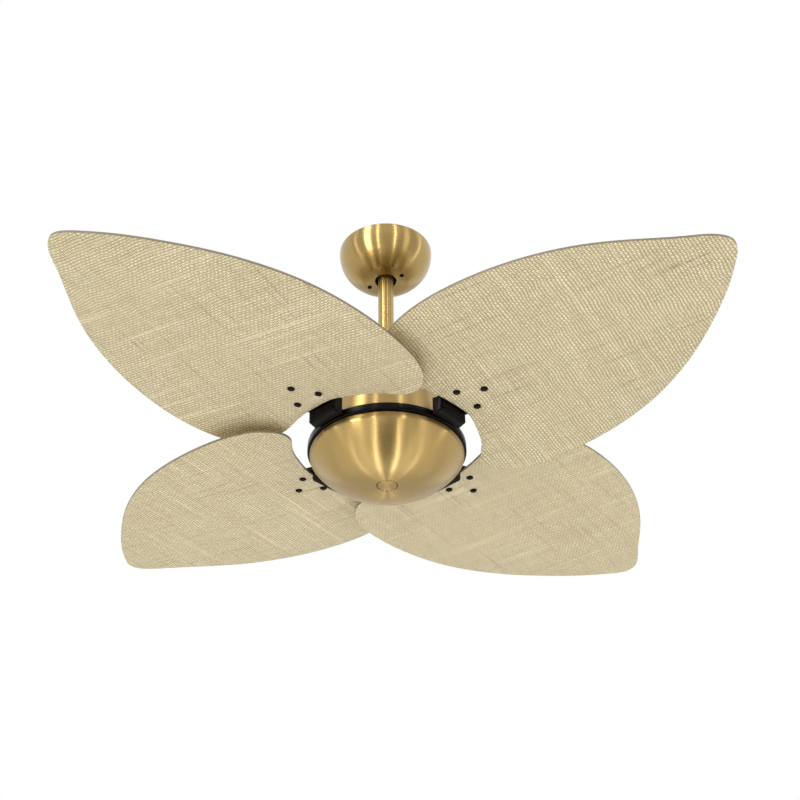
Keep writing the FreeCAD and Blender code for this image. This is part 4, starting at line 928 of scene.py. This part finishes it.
@dataclass
class Studio:
    """Floor, light and the photograph's camera."""

    camera_place: tuple[float, float, float] = (-0.019, -1.589, -1.371)
    camera_rise: float = 35.16
    focal_pixels: float = 1487.0
    centre_column: float = 372.0
    frame_pixels: float = 800.0
    sensor: float = 36.0
    floor_height: float = -3.6
    floor_size: float = 24.0
    ambient: float = 1.09
    upright_streaks: tuple[Streak, ...] = (
        Streak(-120.0, 2.6, 0.36), Streak(-74.0, 0.14, 2.6), Streak(-43.0, 0.42, 9.0),
        Streak(-18.0, 0.06, 15.0), Streak(22.0, 0.06, 15.0), Streak(50.0, 0.42, 1.2),
        Streak(86.0, 0.14, 2.6), Streak(120.0, 2.6, 0.4))
    lying_streaks: tuple[Streak, ...] = (
        Streak(-150.0, 2.4, 0.45), Streak(-74.0, 0.045, 7.0), Streak(-44.0, 0.26, 0.6),
        Streak(-18.0, 0.045, 15.0), Streak(18.0, 0.045, 15.0), Streak(42.0, 0.26, 0.6),
        Streak(74.0, 0.045, 7.0), Streak(150.0, 2.4, 0.45))
    strip_height: float = 3.5
    strip_distance: float = 1.9
    strip_centre: float = 0.45
    strip_lift: float = 2.25
    strip_step: float = 0.01
    lying_near: tuple[float, float] = (4.4, -2.2)
    lying_far: tuple[float, float] = (0.57, 1.8)
    card_near: tuple[float, float] = (0.6, -2.0)
    card_far: tuple[float, float] = (0.06, 2.4)
    card_height: float = -2.36
    card_tone: float = 0.42
    bounce_place: tuple[float, float, float] = (-0.2, -2.6, 1.5)
    bounce_size: tuple[float, float] = (4.5, 1.8)
    bounce_glow: float = 0.45
    key_place: tuple[float, float, float] = (-1.0, -2.2, -2.3)
    key_power: float = 9.0
    key_size: float = 2.0
    aim_height: float = -0.2
    key_aim_height: float = -0.33
    floor_tone: float = 0.9
    ceiling_tone: float = 0.8
    matt: float = 0.9
    rim_outer: float = 63.9
    rim_inner: float = 57.5
    rim_height: float = -0.9

    def staged(self, shape: bmesh.types.BMesh, name: str,
               material: bpy.types.Material) -> bpy.types.Object:
        """Turn a shape into a piece of the studio, not of the fan.

        Args:
            shape: the shape in metres.
            name: the piece's name.
            material: what it is made of.

        Returns:
            The new object.
        """
        mesh = bpy.data.meshes.new(name)
        shape.to_mesh(mesh)
        shape.free()
        mesh.materials.append(material)
        item = bpy.data.objects.new(name, mesh)
        bpy.context.scene.collection.objects.link(item)
        return item

    def paint(self, name: str, tone: float) -> tuple[bpy.types.Material, bpy.types.Node]:
        """Make matt grey paint.

        Args:
            name: the material's name.
            tone: how pale it is, from 0 to 1.

        Returns:
            The material and its Principled shader.
        """
        material = bpy.data.materials.new(name)
        material.use_nodes = True
        shader = material.node_tree.nodes["Principled BSDF"]
        shader.inputs["Base Color"].default_value = (tone, tone, tone, 1.0)
        shader.inputs["Roughness"].default_value = self.matt
        return material, shader

    def camera(self) -> None:
        """Put the camera where the photograph was taken."""
        data = bpy.data.cameras.new("camera")
        data.sensor_width = self.sensor
        data.lens = self.focal_pixels / self.frame_pixels * self.sensor
        data.shift_x = (self.frame_pixels / 2.0 - self.centre_column) / self.frame_pixels
        item = bpy.data.objects.new("camera", data)
        item.location = self.camera_place
        item.rotation_euler = (math.radians(90.0 + self.camera_rise), 0.0, 0.0)
        bpy.context.scene.collection.objects.link(item)
        bpy.context.scene.camera = item

    def floor(self) -> None:
        """A plain pale floor far below the fan."""
        shape = bmesh.new()
        bmesh.ops.create_grid(shape, x_segments=1, y_segments=1, size=self.floor_size / 2.0)
        bmesh.ops.translate(shape, vec=(0.0, 0.0, self.floor_height), verts=shape.verts)
        self.staged(shape, "floor", self.paint("pale_floor", self.floor_tone)[0])

    def card(self) -> None:
        """A grey card below the fan that only gloss sees, for the dark band down the dome."""
        shape = bmesh.new()
        bmesh.ops.create_grid(shape, x_segments=1, y_segments=1, size=1.0)
        for corner in shape.verts:
            half, along = self.card_far if corner.co.y > 0.0 else self.card_near
            corner.co = (corner.co.x * half, along, self.card_height)
        material, shader = self.paint("grey_card", 0.0)
        shader.inputs["Specular IOR Level"].default_value = 0.0
        shader.inputs["Emission Color"].default_value = (1.0, 1.0, 1.0, 1.0)
        shader.inputs["Emission Strength"].default_value = self.card_tone
        item = self.staged(shape, "grey_card", material)
        item.visible_camera = False
        item.visible_diffuse = False
        item.visible_shadow = False

    def ceiling_rim(self) -> None:
        """The narrow ring of ceiling that closes the canopy; from above it is clear."""
        ring = [(self.rim_inner, self.rim_height), (self.rim_outer, self.rim_height)]
        shape = spun(ring, 128, False)
        if sum(face.normal.z for face in shape.faces) > 0.0:
            bmesh.ops.reverse_faces(shape, faces=shape.faces)
        material, shader = self.paint("ceiling_paint", self.ceiling_tone)
        sheet = NodeSheet(material.node_tree)
        blend = sheet.add("ShaderNodeMixShader")
        sheet.join(sheet.add("ShaderNodeNewGeometry").outputs["Backfacing"], blend.inputs[0])
        sheet.join(shader.outputs[0], blend.inputs[1])
        sheet.join(sheet.add("ShaderNodeBsdfTransparent").outputs[0], blend.inputs[2])
        sheet.join(blend.outputs[0], material.node_tree.nodes["Material Output"].inputs["Surface"])
        self.staged(shape, "ceiling_rim", material)

    def world(self) -> None:
        """White surroundings for the eye and for gloss, softer ones for plain light."""
        world = bpy.data.worlds.new("studio")
        bpy.context.scene.world = world
        world.use_nodes = True
        world.node_tree.nodes.clear()
        sheet = NodeSheet(world.node_tree)
        path = sheet.add("ShaderNodeLightPath")
        seen = sheet.math("MAXIMUM", path.outputs["Is Camera Ray"], path.outputs["Is Glossy Ray"])
        seen = sheet.math("MAXIMUM", seen, path.outputs["Is Transmission Ray"])
        blend = sheet.add("ShaderNodeMixShader")
        sheet.join(seen, blend.inputs[0])
        for index, strength in enumerate((self.ambient, 1.0), start=1):
            background = sheet.add("ShaderNodeBackground")
            background.inputs["Color"].default_value = (1.0, 1.0, 1.0, 1.0)
            background.inputs["Strength"].default_value = strength
            sheet.join(background.outputs[0], blend.inputs[index])
        output = sheet.add("ShaderNodeOutputWorld")
        sheet.join(blend.outputs[0], output.inputs["Surface"])

    def strip(self, name: str, size: tuple[float, float], glow: float, place: Matrix) -> None:
        """Add one strip light that only gloss sees.

        Args:
            name: the lamp's name.
            size: its width and length in metres.
            glow: how bright its face is, where the white surroundings are 1.
            place: where it stands, shining along its own -Z with its length along Y.
        """
        data = bpy.data.lights.new(name, "AREA")
        data.shape = "RECTANGLE"
        data.size, data.size_y = size
        data.energy = glow * math.pi * size[0] * size[1]
        item = bpy.data.objects.new(name, data)
        item.matrix_world = place
        item.visible_diffuse = False
        item.visible_camera = False
        bpy.context.scene.collection.objects.link(item)

    def strips(self) -> None:
        """Draw the streaks on the brass: for each an upright strip and one that lies below the fan.

        The lying strips stand at steps, because of two in one plane only one would be seen.
        """
        upright = Matrix.Rotation(math.radians(90.0), 4, "X")
        for index, streak in enumerate(self.upright_streaks):
            to_side = Matrix.Rotation(math.radians(streak.turn), 4, "Z")
            stand = Matrix.Translation((0.0, -self.strip_distance, self.strip_centre))
            self.strip("upright_%d" % index, (streak.width, self.strip_height), streak.glow,
                       to_side @ stand @ upright)
        face_up = Matrix.Rotation(math.pi, 4, "X")
        for index, streak in enumerate(self.lying_streaks):
            aside = math.sin(math.radians(streak.turn / 2.0))
            level = -self.strip_lift - self.strip_step * index
            near = Vector((self.lying_near[0] * aside, self.lying_near[1], level))
            far = Vector((self.lying_far[0] * aside, self.lying_far[1], level))
            lean = Matrix.Rotation(math.atan2(near.x - far.x, far.y - near.y), 4, "Z")
            self.strip("lying_%d" % index, (streak.width, (far - near).length), streak.glow,
                       Matrix.Translation((near + far) / 2.0) @ lean @ face_up)
        aim = Vector((0.0, 0.0, self.aim_height)) - Vector(self.bounce_place)
        tilt = aim.to_track_quat("-Z", "Y").to_matrix().to_4x4()
        self.strip("bounce", self.bounce_size, self.bounce_glow,
                   Matrix.Translation(self.bounce_place) @ tilt)

    def key(self) -> None:
        """One soft lamp from below and the left, so that the weave has a light and a dark side."""
        data = bpy.data.lights.new("key", "AREA")
        data.size = self.key_size
        data.energy = self.key_power
        item = bpy.data.objects.new("key", data)
        item.location = self.key_place
        aim = Vector((0.0, 0.0, self.key_aim_height)) - item.location
        item.rotation_euler = aim.to_track_quat("-Z", "Y").to_euler()
        bpy.context.scene.collection.objects.link(item)

    def build(self) -> None:
        """Build the whole studio."""
        self.camera()
        self.floor()
        self.ceiling_rim()
        self.card()
        self.world()
        self.strips()
        self.key()
        bpy.context.scene.view_settings.view_transform = "Standard"


@dataclass
class CeilingFan:
    """The whole fan in its studio."""

    mount: CeilingMount = field(default_factory=CeilingMount)
    hung: HungFrame = field(default_factory=HungFrame)
    blades: LeafBlades = field(default_factory=LeafBlades)
    studio: Studio = field(default_factory=Studio)

    def build(self) -> None:
        """Build each sub-assembly in order."""
        shop = Workshop()
        self.mount.build(shop)
        self.hung.build(shop)
        self.blades.build(shop)
        self.studio.build()


def main() -> None:
    """Build the fan in its studio."""
    logging.basicConfig(level=logging.INFO)
    CeilingFan().build()


if __name__ == "__main__":
    main()
